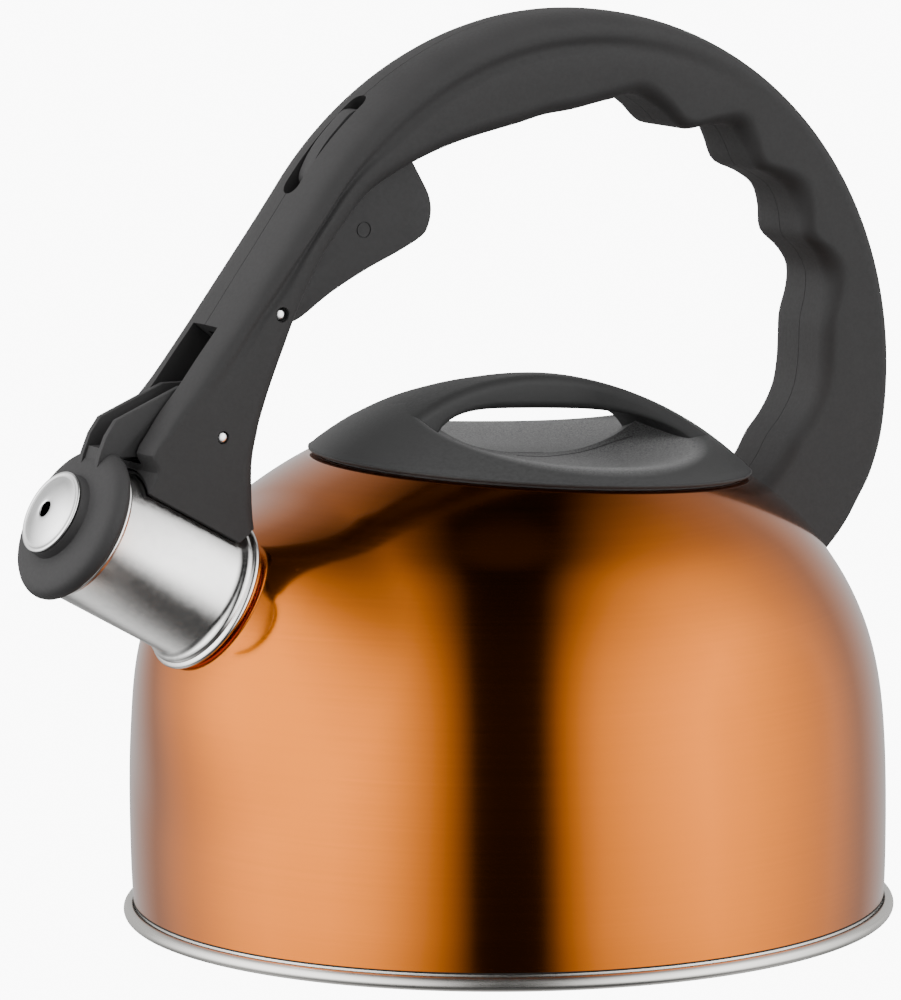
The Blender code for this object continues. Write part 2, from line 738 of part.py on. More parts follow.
def scoop_tool(side):
    """Bowl-shaped cutter for one finger scoop; the two are turned half round."""
    cx = -SCOOP_C[0] * side
    cy = -SCOOP_C[1] * side
    segs = 36
    rings = [0.0, 14.0, 23.0, 30.0, 35.5, 38.6, SCOOP_R]
    points = [(cx, cy, FLOOR)]
    for rho in rings[1:]:
        for k in range(segs):
            a = 2.0 * math.pi * k / segs
            x = cx + rho * math.cos(a)
            y = cy + rho * math.sin(a)
            top = dome_height(min(math.hypot(x, y), LID_R))
            z = FLOOR + (top - FLOOR) * (rho / SCOOP_R) ** 4
            points.append((x, y, z))
    lip = len(points)
    for k in range(segs):
        x, y, z = points[lip - segs + k]
        points.append((x, y, 60.0))
    faces = []
    for k in range(segs):
        n = (k + 1) % segs
        faces.append((0, 1 + n, 1 + k))
        for i in range(len(rings) - 1):
            a = 1 + i * segs
            b = a + segs
            faces.append((a + k, a + n, b + n, b + k))
    faces.append(tuple(lip + k for k in range(segs)))
    return make("scoop", points, faces, place=LID)


def arch_edge(x):
    """Near edge of the arch in plan; it flares toward the rear foot."""
    table = [
        (-60.0, -11.0), (-43.0, -9.0), (-25.0, -6.2), (-8.0, -5.4),
        (4.0, -6.0), (15.0, -9.0), (25.0, -16.5), (33.0, -26.5), (39.0, -34.0),
    ]
    return smooth_curve(table, x)


def arch_bar():
    sections = []
    stations = [
        -46.0, -41.0, -37.0, -33.9, -33.3, -32.4, -30.6, -27.6, -23.0, -17.0,
        -11.0, -5.0, 0.0,
    ]
    stations += [-x for x in reversed(stations[:-1])]
    for x in stations:
        limit = math.sqrt(49.0 ** 2 - x ** 2)
        near = max(arch_edge(x), -limit)
        far = min(-arch_edge(-x), limit)
        buried = abs(x) > ARCH_HALF
        if buried:
            under = 0.7
        else:
            t = 1.0 - (abs(x) / ARCH_HALF) ** 5
            under = FLOOR + ARCH_CLEAR * math.sqrt(t)
        section = []
        count = 9
        for k in range(count):
            t = k / (count - 1)
            y = near + (far - near) * (0.5 - 0.5 * math.cos(math.pi * t))
            edge = max(min(y - near, far - y), 0.0)
            round_r = 2.6
            drop = 0.0
            if edge < round_r:
                drop = round_r - math.sqrt(max(round_r ** 2 - (round_r - edge) ** 2, 0.0))
            z = dome_height(math.hypot(x, y)) - drop - (0.12 if buried else 0.0)
            section.append((x, y, z))
        section += [(x, far, under + 1.2), (x, far - 1.4, under)]
        section += [(x, near + 1.4, under), (x, near, under + 1.2)]
        sections.append(section)
    return loft("arch", sections, place=LID)


def lid_cover():
    plastic = material("lid_plastic", (0.070, 0.070, 0.072), 0.0, 0.6)
    profile = [(0.0, 0.0), (LID_R - 0.4, 0.0), (LID_R, 0.4)]
    for r in (LID_R, 53.0, 45.0, 35.0, 24.0, 12.0, 0.0):
        profile.append((r, dome_height(r)))
    cover = lathe("lid_cover", profile, place=LID, segs=60)
    cut(cover, scoop_tool(1.0), scoop_tool(-1.0))
    join(cover, arch_bar())
    for x in (-40.0, 40.0):
        place = frame(LID @ Vector((x, 0.0, 0.0)), LID_DIR, (1.0, 0.0, 0.0))
        cut(cover, cylinder("hole", place, 1.7, -3.0, 7.0, 16))
    cover.data.materials.clear()
    cover.data.materials.append(plastic)
    return cover


def lid_parts():
    steel = material("lid_plate_steel", (0.72, 0.72, 0.72), 1.0, 0.3)
    rubber = material("lid_seal_silicone", (0.06, 0.06, 0.06), 0.0, 0.7)
    screws = material("lid_screw_steel", (0.66, 0.66, 0.67), 1.0, 0.3)
    plate = [
        (0.0, -1.1), (47.0, -1.1), (47.0, -8.0), (47.8, -8.0), (47.8, -0.3), (0.0, -0.3),
    ]
    seal = [(50.4, -0.7), (56.4, -0.7), (56.4, -0.2), (50.4, -0.2)]
    disc = lathe("lid_plate", plate, steel, LID, 48)
    ring = lathe("lid_seal", seal, rubber, LID, 48)
    result = [disc, ring]
    for name, x in (("lid_screw_front", -40.0), ("lid_screw_rear", 40.0)):
        place = frame(LID @ Vector((x, 0.0, 0.0)), LID_DIR, (1.0, 0.0, 0.0))
        cut(disc, cylinder("hole", place, 1.8, -4.0, 2.0, 16))
        profile = [
            (0.0, -3.0), (2.4, -3.0), (2.8, -2.4), (2.8, -1.4), (1.4, -1.4),
            (1.4, 5.0), (0.5, 6.2), (0.0, 6.2),
        ]
        result.append(lathe(name, profile, screws, place, 16))
    return result


# ---------------------------------------------------------------- assembly

def pivot(name, spot, objects):
    """Empty on a joint axis that carries the pieces that move with it."""
    empty = bpy.data.objects.new(name, None)
    bpy.context.scene.collection.objects.link(empty)
    empty.location = Vector(spot) * MM
    for obj in objects:
        obj.data.transform(Matrix.Translation(-empty.location))
        obj.parent = empty


def main():
    clear_scene()
    body_shell()
    base_pan()
    heat_disc()
    base_cover()
    spout_tube()
    handle_pair()
    handle_screws()
    brackets()
    front_gasket()
    rear_gasket()
    pins()
    lever = trigger_lever()
    return_spring()
    cap = [cap_lever(), drive_peg(), cap_gasket()] + whistle()
    lid = [lid_cover()] + lid_parts()
    pivot("trigger_pivot", (TRIGGER_PIN[0], 0.0, TRIGGER_PIN[1]), [lever])
    pivot("cap_pivot", (CAP_PIN[0], 0.0, CAP_PIN[1]), cap)
    pivot("lid_lift", (LID_X, 0.0, LID_Z), lid)


main()
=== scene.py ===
# Looks of the stovetop whistling kettle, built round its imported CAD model.
# Drawing values are in millimetres, in the CAD frame: kettle axis = world Z,
# spout toward -X, handle in the XZ plane. make() scales them to metres.

import math

import bmesh
import bpy
from mathutils import Matrix, Vector

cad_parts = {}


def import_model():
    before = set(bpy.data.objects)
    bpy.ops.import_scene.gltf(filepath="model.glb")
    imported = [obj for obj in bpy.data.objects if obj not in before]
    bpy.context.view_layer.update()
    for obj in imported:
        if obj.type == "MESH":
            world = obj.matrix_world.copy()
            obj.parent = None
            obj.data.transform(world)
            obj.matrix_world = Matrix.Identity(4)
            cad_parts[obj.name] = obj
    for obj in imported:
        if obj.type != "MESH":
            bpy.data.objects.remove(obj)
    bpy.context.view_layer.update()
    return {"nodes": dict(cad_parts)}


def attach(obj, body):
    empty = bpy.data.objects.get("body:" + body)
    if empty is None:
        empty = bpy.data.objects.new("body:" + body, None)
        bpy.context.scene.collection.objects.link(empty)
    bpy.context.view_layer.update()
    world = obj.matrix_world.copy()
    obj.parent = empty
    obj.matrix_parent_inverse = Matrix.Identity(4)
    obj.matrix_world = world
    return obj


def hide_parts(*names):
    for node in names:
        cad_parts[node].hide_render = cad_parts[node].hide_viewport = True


MM = 0.001

# body
BODY_R = 99.9
SHELL_T = 1.0
BEAD_R = 100.0
BEAD_T = 1.9
BEAD_Z = 2.2
DOME_R = 113.7
DOME_Z = 21.8
BASE_Z = 4.9
WALL = [
    (99.2, 4.0), (99.6, 9.0), (BODY_R, 30.0), (99.5, 48.0), (98.2, 62.0),
    (95.6, 74.0), (91.4, 84.7), (87.3, 92.0), (82.8, 98.6),
]

# lid
LID_TIP = math.radians(4.5)
LID_X = 7.7
LID_Z = 119.65
LID_R = 58.5
LID_H = 23.2
LID_EDGE = 0.7
SEAT = -0.9
MOUTH_R = 48.6
SCOOP_R = 39.8
SCOOP_C = (2.0, 16.6)
FLOOR = 1.4
ARCH_HALF = 33.5
ARCH_CLEAR = 14.2
ARCH_ROUND = 3.0

# spout
SPOUT_TILT = math.radians(29.8)
FACE_X = -136.5
FACE_Z = 119.5
TUBE_R = 18.2
TUBE_T = 0.8
MOUTH_S = -10.3
FLANGE_S = -53.0
SWELL_OUT = 5.1
SWELL_R = 19.0
SWELL_FADE = 42.0

# handle
HANDLE_X = 16.0
HANDLE_Z = 138.0
HANDLE_W = 13.0
SPLIT = 0.08
STATION_STEP = 1.25
CROWN = 4.6
CROWN_FRONT = 1.6
VALLEY = 6.0
VALLEY_SINK = 0.9
UNDER = 3.5
UNDER_HOLLOW = 2.5
GRIP_OUT = [
    (-36.0, 92.0), (-31.3, 94.5), (-26.3, 96.6), (-21.8, 97.9),
    (-17.6, 99.4), (-10.0, 100.39), (90.0, 100.39), (120.0, 100.0),
    (146.0, 100.0),
]
GRIP_IN = [
    (-36.0, 61.8), (-28.0, 64.8), (-20.0, 68.0), (-15.0, 69.6),
    (-10.5, 72.8), (-5.0, 75.9), (0.0, 77.2), (5.0, 78.0), (9.5, 79.2),
    (14.0, 82.2), (18.0, 83.8), (22.0, 82.9), (26.5, 80.6), (31.0, 82.8),
    (35.5, 83.8), (40.0, 82.0), (44.5, 79.6), (49.0, 81.8), (53.5, 83.5),
    (58.0, 79.8), (63.5, 75.4), (70.0, 77.9), (76.0, 79.6), (82.0, 77.0),
    (90.0, 74.6), (97.0, 74.3), (104.0, 74.1), (112.0, 75.5), (122.0, 78.7),
    (129.0, 81.4), (138.0, 85.2), (146.0, 86.4),
]
LEG = [
    ((-74.0, 184.9), (-60.2, 181.0)), ((-82.3, 174.2), (-64.9, 173.6)),
    ((-90.3, 163.8), (-68.7, 166.7)), ((-96.5, 156.5), (-72.8, 157.5)),
    ((-102.4, 149.2), (-75.9, 150.5)), ((-107.6, 143.4), (-78.4, 144.3)),
    ((-111.4, 138.2), (-80.6, 138.0)), ((-114.6, 133.2), (-82.3, 131.8)),
    ((-112.9, 128.6), (-83.0, 125.5)), ((-117.6, 121.6), (-82.8, 113.8)),
    ((-119.5, 116.0), (-81.0, 102.0)),
]
GRIP_SCREWS = [(108.4, 88.0), (66.8, 89.0)]

# linkage
TRIGGER_PIN = (-75.0, 166.2)
CAP_PIN = (-93.0, 136.1)
PIN_R = 1.5
PEG_ARM = 9.7
PEG_ANGLE = 77.1
TRIGGER_T = 2.4
TRIGGER_SLOT = 3.0
CHEEK_IN = 3.2
CHEEK_OUT = 5.1
POCKET = 6.0
FRONT_SCREW = (-92.5, 119.6)
REAR_SCREW = (95.0, 109.0)
PIN_PLAY = 0.3
THROUGH = 16.0


# ---------------------------------------------------------------- helpers

def axis_frame(origin, axis, side):
    """Matrix whose Z is axis and whose X is as near to side as it can be."""
    z = Vector(axis).normalized()
    x = Vector(side)
    x = (x - z * x.dot(z)).normalized()
    y = z.cross(x)
    mat = Matrix((x, y, z)).transposed().to_4x4()
    mat.translation = Vector(origin)
    return mat


WORLD = Matrix.Identity(4)
SPOUT_DIR = Vector((-math.cos(SPOUT_TILT), 0.0, math.sin(SPOUT_TILT)))
SPOUT = axis_frame((FACE_X, 0.0, FACE_Z), SPOUT_DIR, (0.0, 0.0, 1.0))
LID_DIR = Vector((math.sin(LID_TIP), 0.0, math.cos(LID_TIP)))
LID = axis_frame((LID_X, 0.0, LID_Z), LID_DIR, (1.0, 0.0, 0.0))


def tidy(mesh, angle=32.0):
    """Merges doubled points, turns the normals outward and marks sharp edges."""
    bm = bmesh.new()
    bm.from_mesh(mesh)
    bmesh.ops.remove_doubles(bm, verts=bm.verts, dist=0.000002)
    bmesh.ops.dissolve_degenerate(bm, edges=bm.edges, dist=0.000002)
    bmesh.ops.recalc_face_normals(bm, faces=bm.faces)
    bm.to_mesh(mesh)
    bm.free()
    mesh.shade_smooth()
    mesh.set_sharp_from_angle(angle=math.radians(angle))


def make(name, points, faces, place=WORLD, angle=32.0):
    """Object from points in millimetres, given in the frame of place."""
    mesh = bpy.data.meshes.new(name)
    scaled = [(place @ Vector(p)) * MM for p in points]
    mesh.from_pydata(scaled, [], faces)
    mesh.update()
    tidy(mesh, angle)
    obj = bpy.data.objects.new(name, mesh)
    bpy.context.scene.collection.objects.link(obj)
    return obj


def circle(radius, height, segs):
    points = []
    for k in range(segs):
        a = 2.0 * math.pi * k / segs
        points.append((radius * math.cos(a), radius * math.sin(a), height))
    return points


def lathe(name, profile, place=WORLD, segs=96, angle=32.0):
    """Closed (radius, height) outline turned once round the local Z axis."""
    points = []
    rings = []
    for r, h in profile:
        if r < 1e-6:
            rings.append([len(points)])
            points.append((0.0, 0.0, h))
            continue
        rings.append([len(points) + k for k in range(segs)])
        points += circle(r, h, segs)
    faces = []
    for i, lower in enumerate(rings):
        upper = rings[(i + 1) % len(rings)]
        if len(lower) == 1 and len(upper) == 1:
            continue
        for k in range(segs):
            n = (k + 1) % segs
            if len(lower) == 1:
                faces.append((lower[0], upper[n], upper[k]))
            elif len(upper) == 1:
                faces.append((lower[k], lower[n], upper[0]))
            else:
                faces.append((lower[k], lower[n], upper[n], upper[k]))
    return make(name, points, faces, place, angle)


def skin(rings, closed):
    """Points and quads over equal rings; closed joins the last ring to the first."""
    count = len(rings[0])
    points = [p for ring in rings for p in ring]
    faces = []
    last = len(rings) if closed else len(rings) - 1
    for i in range(last):
        for k in range(count):
            n = (k + 1) % count
            a = i * count
            b = ((i + 1) % len(rings)) * count
            faces.append((a + k, a + n, b + n, b + k))
    return points, faces


def loft(name, sections, place=WORLD, angle=32.0):
    """Skin over a row of equal sections, with flat ends."""
    points, faces = skin(sections, False)
    count = len(sections[0])
    faces.append(tuple(range(count)))
    last = (len(sections) - 1) * count
    faces.append(tuple(last + k for k in reversed(range(count))))
    return make(name, points, faces, place, angle)


def prism(name, outline, y0, y1):
    """(x, z) outline carried along Y."""
    low = [(x, y0, z) for x, z in outline]
    high = [(x, y1, z) for x, z in outline]
    return loft(name, [low, high])


def cylinder(name, place, radius, h0, h1, segs=48):
    return lathe(name, [(0.0, h0), (radius, h0), (radius, h1), (0.0, h1)], place, segs)


def cross_place(spot):
    """Frame at (x, z) in the handle's plane, with its Z along world Y."""
    return axis_frame((spot[0], 0.0, spot[1]), (0.0, 1.0, 0.0), (1.0, 0.0, 0.0))


def cross_pin(name, spot, radius, y0, y1, segs=40):
    return cylinder(name, cross_place(spot), radius, y0, y1, segs)


def apply_modifiers(obj):
    graph = bpy.context.evaluated_depsgraph_get()
    mesh = bpy.data.meshes.new_from_object(obj.evaluated_get(graph))
    obj.modifiers.clear()
    old = obj.data
    obj.data = mesh
    bpy.data.meshes.remove(old)
    mesh.name = obj.name


def cut(obj, *tools):
    """Takes each tool's volume out of obj, and removes the tool."""
    for tool in tools:
        mod = obj.modifiers.new("cut", "BOOLEAN")
        mod.operation = "DIFFERENCE"
        mod.solver = "EXACT"
        mod.object = tool
        apply_modifiers(obj)
        tidy(obj.data)
        bpy.data.objects.remove(tool, do_unlink=True)


def bevel(obj, width, angle, segments):
    """Rounds the edges sharper than angle."""
    mod = obj.modifiers.new("edge", "BEVEL")
    mod.width = width * MM
    mod.segments = segments
    mod.limit_method = "ANGLE"
    mod.angle_limit = math.radians(angle)
    mod.use_clamp_overlap = True
    apply_modifiers(obj)
    tidy(obj.data, 50.0)
    return obj


def weld(name, pieces):
    """Several closed shells as one object."""
    bm = bmesh.new()
    for piece in pieces:
        bm.from_mesh(piece.data)
        bpy.data.objects.remove(piece, do_unlink=True)
    mesh = bpy.data.meshes.new(name)
    bm.to_mesh(mesh)
    bm.free()
    mesh.shade_smooth()
    mesh.set_sharp_from_angle(angle=math.radians(38.0))
    obj = bpy.data.objects.new(name, mesh)
    bpy.context.scene.collection.objects.link(obj)
    return obj


def smooth_curve(table, x):
    """Cubic through a table of (x, y), with slopes taken from its neighbours."""
    if x <= table[0][0]:
        return table[0][1]
    if x >= table[-1][0]:
        return table[-1][1]
    i = 0
    while table[i + 1][0] < x:
        i += 1
    before = table[max(i - 1, 0)]
    first = table[i]
    second = table[i + 1]
    after = table[min(i + 2, len(table) - 1)]
    span = second[0] - first[0]
    t = (x - first[0]) / span
    m0 = (second[1] - before[1]) / (second[0] - before[0]) * span
    m1 = (after[1] - first[1]) / (after[0] - first[0]) * span
    a = (2 * t ** 3 - 3 * t ** 2 + 1) * first[1]
    b = (t ** 3 - 2 * t ** 2 + t) * m0
    c = (-2 * t ** 3 + 3 * t ** 2) * second[1]
    d = (t ** 3 - t ** 2) * m1
    return a + b + c + d


def spline(points, steps):
    """Smooth open curve through 2-D points."""
    result = []
    for i in range(len(points) - 1):
        p0 = Vector(points[max(i - 1, 0)])
        p1 = Vector(points[i])
        p2 = Vector(points[i + 1])
        p3 = Vector(points[min(i + 2, len(points) - 1)])
        for k in range(steps):
            t = k / steps
            a = 2.0 * p1
            b = (p2 - p0) * t
            c = (2.0 * p0 - 5.0 * p1 + 4.0 * p2 - p3) * t ** 2
            d = (3.0 * p1 - p0 - 3.0 * p2 + p3) * t ** 3
            result.append(tuple((a + b + c + d) * 0.5))
    result.append(tuple(points[-1]))
    return result


def polar(centre, radius, degrees):
    """Point at a radius and an angle from a centre."""
    a = math.radians(degrees)
    return (centre[0] + radius * math.cos(a), centre[1] + radius * math.sin(a))


def arc(centre, radius, start, end, count):
    step = (end - start) / (count - 1)
    return [polar(centre, radius, start + step * k) for k in range(count)]


def smoothstep(t):
    t = min(max(t, 0.0), 1.0)
    return t * t * (3.0 - 2.0 * t)


def soft_min(a, b, k):
    """Smaller of two heights, blended where they differ by less than k."""
    h = max(k - abs(a - b), 0.0) / k
    return min(a, b) - h * h * k * 0.25


# ---------------------------------------------------------------- materials

FINE_GRAIN = 1100.0
COARSE_GRAIN = 2400.0


class Nodes:
    """Short way to add nodes to a material and link them."""

    def __init__(self, mat):
        self.tree = mat.node_tree
        self.shader = self.tree.nodes.get("Principled BSDF")

    def add(self, kind, **values):
        node = self.tree.nodes.new(kind)
        for key, value in values.items():
            if key in node.inputs:
                node.inputs[key].default_value = value
            else:
                setattr(node, key, value)
        return node

    def link(self, source, target):
        self.tree.links.new(source, target)

    def coords(self, scale):
        tex = self.add("ShaderNodeTexCoord")
        mapping = self.add("ShaderNodeMapping", Scale=scale)
        self.link(tex.outputs["Object"], mapping.inputs["Vector"])
        return mapping.outputs["Vector"]

    def noise(self, vector, scale, detail=4.0, roughness=0.6):
        node = self.add("ShaderNodeTexNoise", Scale=scale, Detail=detail, Roughness=roughness)
        self.link(vector, node.inputs["Vector"])
        return node.outputs["Fac"]

    def span(self, value, low, high, start=0.3, end=0.7):
        node = self.add("ShaderNodeMapRange")
        node.inputs["From Min"].default_value = start
        node.inputs["From Max"].default_value = end
        node.inputs["To Min"].default_value = low
        node.inputs["To Max"].default_value = high
        self.link(value, node.inputs["Value"])
        return node.outputs["Result"]

    def add_up(self, first, second):
        node = self.add("ShaderNodeMath", operation="ADD")
        self.link(first, node.inputs[0])
        self.link(second, node.inputs[1])
        return node.outputs[0]

    def blend(self, factor, first, second):
        node = self.add("ShaderNodeMix", data_type="RGBA")
        self.link(factor, node.inputs["Factor"])
        node.inputs[6].default_value = (*first, 1.0)
        node.inputs[7].default_value = (*second, 1.0)
        return node.outputs[2]

    def bump(self, height, strength, distance):
        node = self.add("ShaderNodeBump", Strength=strength, Distance=distance)
        self.link(height, node.inputs["Height"])
        return node.outputs["Normal"]


def new_material(name, color, metallic, roughness, **more):
    mat = bpy.data.materials.new(name)
    mat.use_nodes = True
    nodes = Nodes(mat)
    values = {"Base Color": (*color, 1.0), "Metallic": metallic, "Roughness": roughness}
    values.update(more)
    for key, value in values.items():
        nodes.shader.inputs[key].default_value = value
    return mat, nodes


def copper_material():
    """Clear orange lacquer over circumferentially brushed steel."""
    more = {"Anisotropic": 0.5, "Anisotropic Rotation": 0.25}
    more["Coat Weight"] = 0.8
    more["Coat Roughness"] = 0.04
    more["Coat IOR"] = 1.22
    mat, n = new_material("copper_lacquer_look", (0.51, 0.123, 0.0014), 1.0, 0.14, **more)
    tangent = n.add("ShaderNodeTangent", direction_type="RADIAL", axis="Z")
    n.link(tangent.outputs["Tangent"], n.shader.inputs["Tangent"])
    brush = n.noise(n.coords((9.0, 9.0, 2600.0)), 1.0, 3.0, 0.65)
    cloud = n.noise(n.coords((1.0, 1.0, 1.0)), 16.0, 2.0, 0.5)
    fade = n.span(brush, 0.0, 1.0, 0.2, 0.8)
    tint = n.blend(fade, (0.49, 0.116, 0.0010), (0.53, 0.129, 0.0018))
    n.link(tint, n.shader.inputs["Base Color"])
    rough = n.add_up(n.span(brush, 0.13, 0.16), n.span(cloud, -0.01, 0.01))
    n.link(rough, n.shader.inputs["Roughness"])
    n.link(n.bump(brush, 0.03, 0.00002), n.shader.inputs["Normal"])
    return mat


def steel_material(name, color, roughness, stretch):
    """Steel or alloy, with a brushed grain stretched along one axis or even on all."""
    mat, n = new_material(name, color, 1.0, roughness)
    brush = n.noise(n.coords(stretch), 1.0, 3.0, 0.6)
    cloud = n.noise(n.coords((1.0, 1.0, 1.0)), 60.0, 3.0, 0.6)
    low = tuple(c * 0.93 for c in color)
    high = tuple(min(c * 1.05, 1.0) for c in color)
    n.link(n.blend(n.span(brush, 0.0, 1.0), low, high), n.shader.inputs["Base Color"])
    rough = n.add_up(n.span(brush, roughness - 0.03, roughness + 0.04), n.span(cloud, -0.02, 0.02))
    n.link(rough, n.shader.inputs["Roughness"])
    n.link(n.bump(brush, 0.12, 0.00003), n.shader.inputs["Normal"])
    return mat


def plastic_material(name, low, high, roughness, grain=FINE_GRAIN):
    """Dull moulded plastic or rubber with a fine grain."""
    mat, n = new_material(name, high, 0.0, roughness, **{"Specular IOR Level": 0.25})
    plain = n.coords((1.0, 1.0, 1.0))
    fine = n.noise(plain, grain, 3.0, 0.6)
    broad = n.noise(plain, 45.0, 3.0, 0.55)
    n.link(n.blend(n.span(broad, 0.0, 1.0), low, high), n.shader.inputs["Base Color"])
    rough = n.add_up(n.span(fine, roughness - 0.05, roughness + 0.05), n.span(broad, -0.03, 0.03))
    n.link(rough, n.shader.inputs["Roughness"])
    n.link(n.bump(fine, 0.25, 0.00005), n.shader.inputs["Normal"])
    return mat


def scoop_material():
    """Lid plastic, coarser inside the two finger scoops, and paler there as painted sky light on the
    upturned hollows.
    """
    more = {"Specular IOR Level": 0.25}
    mat, n = new_material("lid_scoop_look", (0.03, 0.03, 0.03), 0.0, 0.55, **more)
    plain = n.coords((1.0, 1.0, 1.0))
    fine = n.noise(plain, FINE_GRAIN, 3.0, 0.6)
    coarse = n.noise(plain, COARSE_GRAIN, 2.0, 0.7)
    rim = (SCOOP_R - 4.5) * MM
    edge = (SCOOP_R - 0.5) * MM
    parts = []
    for turn in (1.0, -1.0):
        tex = n.add("ShaderNodeTexCoord")
        place = n.add("ShaderNodeMapping", Scale=(1.0, 1.0, 0.0))
        across = -(LID_X - SCOOP_C[0] * turn) * MM
        place.inputs["Location"].default_value = (across, SCOOP_C[1] * turn * MM, 0.0)
        n.link(tex.outputs["Object"], place.inputs["Vector"])
        size = n.add("ShaderNodeVectorMath", operation="LENGTH")
        n.link(place.outputs["Vector"], size.inputs[0])
        parts.append(n.span(size.outputs["Value"], 1.0, 0.0, rim, edge))
    inside = n.add("ShaderNodeMath", operation="MAXIMUM")
    n.link(parts[0], inside.inputs[0])
    n.link(parts[1], inside.inputs[1])
    base = n.blend(n.span(fine, 0.0, 1.0), (0.026, 0.026, 0.026), (0.036, 0.036, 0.036))
    speckle = n.span(coarse, 0.0, 1.0, 0.35, 0.65)
    # pale speckled colour in the scoops: the speckle is their coarser grain, the paleness is painted
    # light from the sky on the upturned hollows
    sky_lit_speckle = n.blend(speckle, (0.055, 0.055, 0.055), (0.15, 0.15, 0.15))
    both = n.add("ShaderNodeMix", data_type="RGBA")
    n.link(inside.outputs[0], both.inputs["Factor"])
    n.link(base, both.inputs[6])
    n.link(sky_lit_speckle, both.inputs[7])
    n.link(both.outputs[2], n.shader.inputs["Base Color"])
    n.link(n.span(fine, 0.50, 0.60), n.shader.inputs["Roughness"])
    n.link(n.bump(coarse, 0.35, 0.00008), n.shader.inputs["Normal"])
    return mat


def build_materials():
    """Every look by its short name."""
    metals = {
        "pan": ("pan_steel_look", (0.74, 0.72, 0.68), 0.26, (20.0, 20.0, 1800.0)),
        "spout": ("spout_steel_look", (0.90, 0.89, 0.87), 0.20, (500.0, 500.0, 500.0)),
        "disc": ("whistle_steel_look", (0.97, 0.97, 0.96), 0.20, (150.0, 150.0, 150.0)),
        "alloy": ("alloy_look", (0.78, 0.78, 0.78), 0.42, (90.0, 90.0, 90.0)),
        "cover": ("base_cover_look", (0.72, 0.72, 0.71), 0.32, (200.0, 200.0, 200.0)),
        "pin": ("pin_steel_look", (0.93, 0.93, 0.93), 0.22, (400.0, 400.0, 400.0)),
        "sheet": ("sheet_steel_look", (0.70, 0.70, 0.70), 0.33, (120.0, 120.0, 120.0)),
    }
    plastics = {
        "handle": ("handle_plastic_look", (0.024, 0.0234, 0.0236), (0.030, 0.0292, 0.0294), 0.64),
        "lever": ("lever_plastic_look", (0.026, 0.0255, 0.0258), (0.032, 0.0312, 0.0316), 0.60),
        "lid": ("lid_plastic_look", (0.024, 0.024, 0.024), (0.031, 0.031, 0.031), 0.55),
        # dark line colour: the lid's moulding lines, and the painted shade in the gap above the pan
        "seam_and_shade": ("seam_and_painted_shade_look", (0.010, 0.010, 0.010), (0.014, 0.014, 0.014), 0.6),
        "rubber": ("rubber_look", (0.014, 0.014, 0.014), (0.022, 0.022, 0.022), 0.7, 700.0),
        "silicone": ("silicone_look", (0.06, 0.06, 0.06), (0.09, 0.09, 0.09), 0.55, 500.0),
    }
    looks = {"copper": copper_material(), "lid_shell": scoop_material()}
    for key, values in metals.items():
        looks[key] = steel_material(*values)
    for key, values in plastics.items():
        looks[key] = plastic_material(*values)
    return looks


def dress(obj, mat):
    obj.data.materials.clear()
    obj.data.materials.append(mat)


def install(obj, mat, body, nodes):
    """Gives a drawn piece its look and its body, and hides the CAD nodes it stands for."""
    dress(obj, mat)
    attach(obj, body)
    if nodes:
        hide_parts(*nodes)


# ---------------------------------------------------------------- body

def meridian():
    """Evenly spaced smooth (radius, height) points from the foot to the pole."""
    rough = spline(WALL, 10)
    start = math.asin((103.5 - DOME_Z) / DOME_R)
    for k in range(61):
        a = start + (math.pi / 2 - start) * k / 60
        rough.append((DOME_R * math.cos(a), DOME_Z + DOME_R * math.sin(a)))
    step = 0.5
    even = [rough[0]]
    carry = 0.0
    for i in range(len(rough) - 1):
        a = Vector(rough[i])
        b = Vector(rough[i + 1])
        length = (b - a).length
        at = step - carry
        while at <= length:
            even.append(tuple(a.lerp(b, at / length)))
            at += step
        carry = length - (at - step)
    for _ in range(160):
        moved = list(even)
        for i in range(1, len(even) - 1):
            r = 0.25 * even[i - 1][0] + 0.5 * even[i][0] + 0.25 * even[i + 1][0]
            z = 0.25 * even[i - 1][1] + 0.5 * even[i][1] + 0.25 * even[i + 1][1]
            moved[i] = (r, z)
        even = moved
    return even


def on_curve(curve, at):
    """Point and outward normal at a fractional index of the curve."""
    i = min(int(at), len(curve) - 2)
    t = at - i
    a = curve[i]
    b = curve[i + 1]
    point = (a[0] + (b[0] - a[0]) * t, a[1] + (b[1] - a[1]) * t)
    size = math.hypot(b[0] - a[0], b[1] - a[1])
    normal = ((b[1] - a[1]) / size, -(b[0] - a[0]) / size)
    return point, normal


def raise_collar(p, inverse):
    """Draws the wall out, in one soft swell, to meet the spout's flange."""
    local = inverse @ Vector(p)
    if local.z < -110.0:
        return p
    wide = local.x * 1.7 if local.x > 0.0 else local.x
    fade = smoothstep((math.hypot(wide, local.y) - SWELL_R) / SWELL_FADE)
    swell = SWELL_OUT * (1.0 - fade)
    return tuple(SPOUT @ Vector((local.x, local.y, local.z + swell)))


def body_angles():
    """Angles round the body, closer together at the spout."""
    angles = []
    a = 0.0
    while a < 359.99:
        angles.append(math.radians(a))
        near = abs(a - 180.0)
        a += 0.6 if near < 24.0 else 2.0
    return angles


